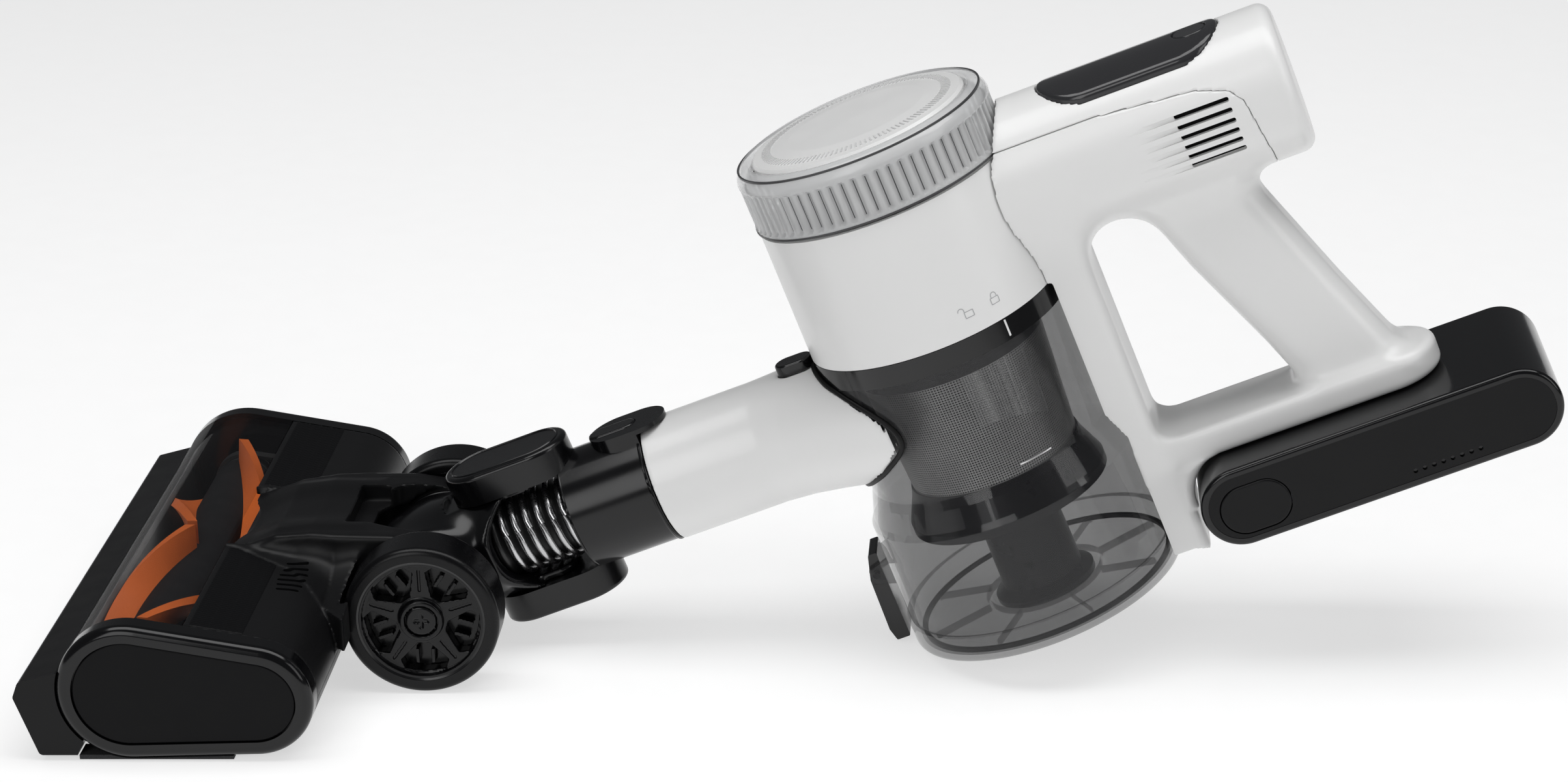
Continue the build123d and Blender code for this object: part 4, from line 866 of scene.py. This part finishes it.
# ---------------------------------------------------------------- wheels
def wheel_face(label, side):
    """Hub with a raised rim, five spokes, deep pockets with clip tabs, and a screwed boss."""
    space = Space((-27.5, -27.5, -13), (27.5, 27.5, 9.5), 0.5)
    x, y, z = space.x, space.y, space.z
    r = np.hypot(x, y)
    disc = thick(r - 26.35, z + 1.6, 9.8, 0.6)
    dished = np.maximum(r - 24.3, 5.6 - z)
    solid = np.maximum(disc, -dished)
    half_turn = math.pi / SPOKES
    turn = (np.arctan2(y, x) + half_turn + SPOKE_TURN) % (2 * half_turn) - half_turn
    a, b = r * np.cos(turn), r * np.sin(turn)
    # pockets between the spokes, each with two clip tabs, and a groove along every spoke
    pocket = [(10.6, -2.2), (18.2, -9.8), (22.2, -8.2), (23.2, 0), (22.2, 8.2), (18.2, 9.8), (10.6, 2.2)]
    depth = outline_distance(a, b, pocket)
    solid = smooth_cut(solid, -np.maximum(depth, -0.5 - z), 0.5)
    tabs = np.minimum(*(box_distance(a - 17.4, b - aside, 3.2, 0.75, 0.3) for aside in (3.1, -3.1)))
    solid = np.minimum(solid, np.maximum(tabs, z - 3.6))
    spoke_turn = (np.arctan2(y, x) + SPOKE_TURN) % (2 * half_turn) - half_turn
    groove = box_distance(r * np.cos(spoke_turn) - 17, r * np.sin(spoke_turn), 5.0, 0.55, 0.4)
    solid = np.maximum(solid, -np.maximum(groove, 4.9 - z))
    # the boss, its screw's recess, the screw and its cross
    boss = np.maximum(smooth_cut(r - 9.0, z - 8.3, 1.2), -4 - z)
    solid = smooth_union(solid, boss, 1.0)
    solid = np.maximum(solid, -np.maximum(r - 6.9, 6.4 - z))
    solid = np.minimum(solid, smooth_cut(r - 6.4, z - 8.0, 1.0))
    cross = np.minimum(box_distance(x, y, 3.0, 0.6, 0.3), box_distance(x, y, 0.6, 3.0, 0.3))
    solid = np.maximum(solid, -np.maximum(cross, 7.2 - z))
    solid = np.maximum(solid, -13.4 - z)
    place = on_axle(side * WHEEL_MIDDLE, -90 * side)
    wheel = f"wheel_{label}"
    piece(f"wheel_face_{label}", *space.skin(solid), place, wheel, "wheel_hub", [f"wheel_hub_{label}"])
    ring = [(25.2, 8.1), (26.3, 8.5), (27.4, 8.1), (27.4, 7.4), (25.2, 7.4)]
    rim = lathe(ring, 128)
    piece(f"rim_ring_{label}", *rim, place, wheel, "wheel_hub", material=MATERIALS["key_black"])


for label, side in (("near", -1), ("far", 1)):
    wheel_face(label, side)


# ---------------------------------------------------------------- bin details
def wrapped(name, outlines, radius_at, degrees, height, body, slot, material, proud=0.06):
    """Thin printed marks laid on a round wall whose radius goes with height.

    Outlines are (aside, up) points from the given angle and height.
    """
    verts, faces = [], []
    for outline in outlines:
        base = len(verts)
        for aside, rise in outline:
            r = radius_at(height + rise) + proud
            turn = math.radians(degrees) + aside / r
            verts.append((r * math.cos(turn), r * math.sin(turn), height + rise))
        faces.append([base + i for i in range(len(outline))])
    piece(name, verts, faces, CYCLONE, body, slot, material=material, sharp=180)


def strokes(points, width, closed=False):
    """Quads along a line of (aside, up) points."""
    quads = []
    ends = points[1:] + points[:1] if closed else points[1:]
    for a, b in zip(points, ends):
        a, b = Vector(a), Vector(b)
        side = (b - a).normalized().orthogonal() * width / 2
        quads.append([tuple(a - side), tuple(b - side), tuple(b + side), tuple(a + side)])
    return quads


def arc(cx, cy, r, start, stop, steps=10):
    """Points of an arc in degrees."""
    turns = [math.radians(start + (stop - start) * k / steps) for k in range(steps + 1)]
    return [(cx + r * math.cos(t), cy + r * math.sin(t)) for t in turns]


def band_radius(v):
    """Radius of the white band at a height."""
    return RING_R - (v - 135.3) * 0.0104


def ring_radius(v):
    """Radius of the black ring, the same at every height."""
    return RING_R


def cup_radius(v):
    """Radius of the cup above its waist at a height."""
    return WAIST_R + (v - WAIST_V) * (CUP_TOP_R - WAIST_R) / (CUP_TOP - WAIST_V)


def bin_marks():
    """Closed and open lock signs on the white band, a tick on the black ring and a fill line on the cup."""
    for name, turn, open_side in (("lock_sign_open", -68.5, True), ("lock_sign_closed", -55.5, False)):
        case = rectangle(-1.9, 1.9, -2.0, 0.6)
        shift = -3.0 if open_side else 0.0
        shackle = [(shift + 1.25, 0.6), *arc(shift, 1.5, 1.25, 0, 180), (shift - 1.25, 0.6)]
        if open_side:
            shackle = shackle[:-1]
        lines = strokes(case, 0.32, True) + strokes(shackle, 0.32)
        wrapped(name, lines, band_radius, turn, 144.5, "motor_unit", "white_shell", PRINT_GREY)
    bar = [rectangle(-0.45, 0.45, -3.6, 3.6)]
    wrapped("ring_tick", bar, ring_radius, -55.0, 131.0, "dust_bin", "ring_black", PRINT_WHITE)
    line = [[(-7.4 + 1.85 * k, -0.35) for k in range(9)] + [(7.4 - 1.85 * k, 0.35) for k in range(9)]]
    wrapped("fill_line", line, cup_radius, -64.5, 76.2, "dust_bin", "cup_smoke", PRINT_WHITE)


def bin_mesh():
    """Fine metal mesh of the cyclone: rings and uprights on a slight cone."""
    low, high, low_r, high_r = 66.2, 115.8, 36.2, 39.4
    rings, uprights = 46, 200

    def radius(v):
        return low_r + (high_r - low_r) * (v - low) / (high - low)

    heights = [low + (high - low) * i / rings for i in range(rings + 1)]
    bands = [lathe(rectangle(radius(v), radius(v) + 0.3, v - 0.2, v + 0.2), uprights) for v in heights]
    wire = rectangle(0.05, 0.36, -0.2, 0.2)
    wires = prisms_round_axis(uprights, *([(radius(v) + r, s, v) for r, s in wire] for v in (low, high)))
    screen = joined(*bands, wires)
    piece("cyclone_mesh", *screen, CYCLONE, "motor_unit", "mesh_steel", ["mesh_screen"], sharp=30)


def nozzle_seal_line():
    """Black seal where the inlet duct meets the cup, laid along their meeting line."""
    reach, span = np.linspace(-80, -6, 600), np.linspace(0, 60, 600)
    middle = np.interp(reach, DUCT_X, DUCT_MIDDLE)
    points, around = [], 240
    for k in range(around):
        turn = 2 * math.pi * k / around
        u, y = np.broadcast_arrays(reach[:, None], span[None, :] * math.cos(turn))
        inside = nozzle_outer(u, y, middle[:, None] + span[None, :] * math.sin(turn)) < 0
        edge = span[np.maximum(inside.sum(axis=1) - 1, 0)]
        y, z = edge * math.cos(turn), middle + edge * math.sin(turn)
        met = np.hypot(reach - AXIS_U, y) <= np.interp(z, *BIN_WALL) + 1.0
        i = int(np.argmax(met))
        points.append(Vector((reach[i], y[i], z[i])))
    eased = [sum((points[(k + j) % around] for j in range(-2, 3)), Vector()) / 5 for k in range(around + 1)]
    piece("nozzle_seal_line", *swept(eased, 1.15), TOOL, "dust_bin", "seal_rubber", ["nozzle_seal"])


bin_marks()
bin_mesh()
nozzle_seal_line()
LID_RING = lathe([(54.4, 2.9), (56.2, 2.9), (56.3, 4.6), (54.4, 4.6)])
piece("lid_ring", *LID_RING, CYCLONE, "lid", "seal_rubber", ["lid_seal"])


# ---------------------------------------------------------------- floor, light and camera
def backdrop():
    """Pale floor that runs far past the object on every side."""
    half = 16.0
    mesh = bpy.data.meshes.new("studio_floor")
    corners = [(x, y, 0) for x, y in rectangle(-half, half, -half, half)]
    mesh.from_pydata(corners, [], [(0, 1, 2, 3)])
    glow = {"Emission_Color": (1, 1, 1, 1), "Emission_Strength": 0.60}
    paper = moulded("floor_paper", (0.50, 0.50, 0.50), 0.6, mottle=0.01, **glow)
    mesh.materials.append(paper)
    item = bpy.data.objects.new("studio_floor", mesh)
    item.location.z = -0.0004
    bpy.context.scene.collection.objects.link(item)


def soft_light(name, place, aim, size, power):
    """Square area light that faces a point."""
    light = bpy.data.lights.new(name, "AREA")
    light.shape = "RECTANGLE"
    light.size, light.size_y = size
    light.energy = power
    item = bpy.data.objects.new(name, light)
    item.location = place
    item.rotation_euler = (Vector(aim) - Vector(place)).to_track_quat("-Z", "Y").to_euler()
    bpy.context.scene.collection.objects.link(item)


backdrop()
soft_light("top_light", (0.0, -0.1, 1.7), (0.0, 0.0, 0.1), (2.4, 0.9), 24)
soft_light("front_light", (-0.9, -1.9, 1.1), (0.0, 0.0, 0.1), (1.0, 1.4), 11)
soft_light("side_light", (1.7, -0.9, 0.9), (0.1, 0.0, 0.1), (0.8, 1.2), 6)

world = bpy.data.worlds.new("studio")
world.use_nodes = True
world.node_tree.nodes["Background"].inputs["Color"].default_value = (0.95, 0.97, 1.0, 1)
world.node_tree.nodes["Background"].inputs["Strength"].default_value = 0.10
bpy.context.scene.world = world
bpy.context.scene.view_settings.view_transform = "Standard"

camera = bpy.data.objects.new("camera", bpy.data.cameras.new("camera"))
camera.data.lens = 80.6  # on the default 36 mm frame
camera.data.shift_x = -0.1537  # the photo's view is centred left of its lens axis
camera.location = (0.08945, -1.370, 0.6253)
camera.rotation_euler = (math.radians(90 - 20.6), 0, 0)  # looks 20.6 degrees down
bpy.context.scene.collection.objects.link(camera)
bpy.context.scene.camera = camera
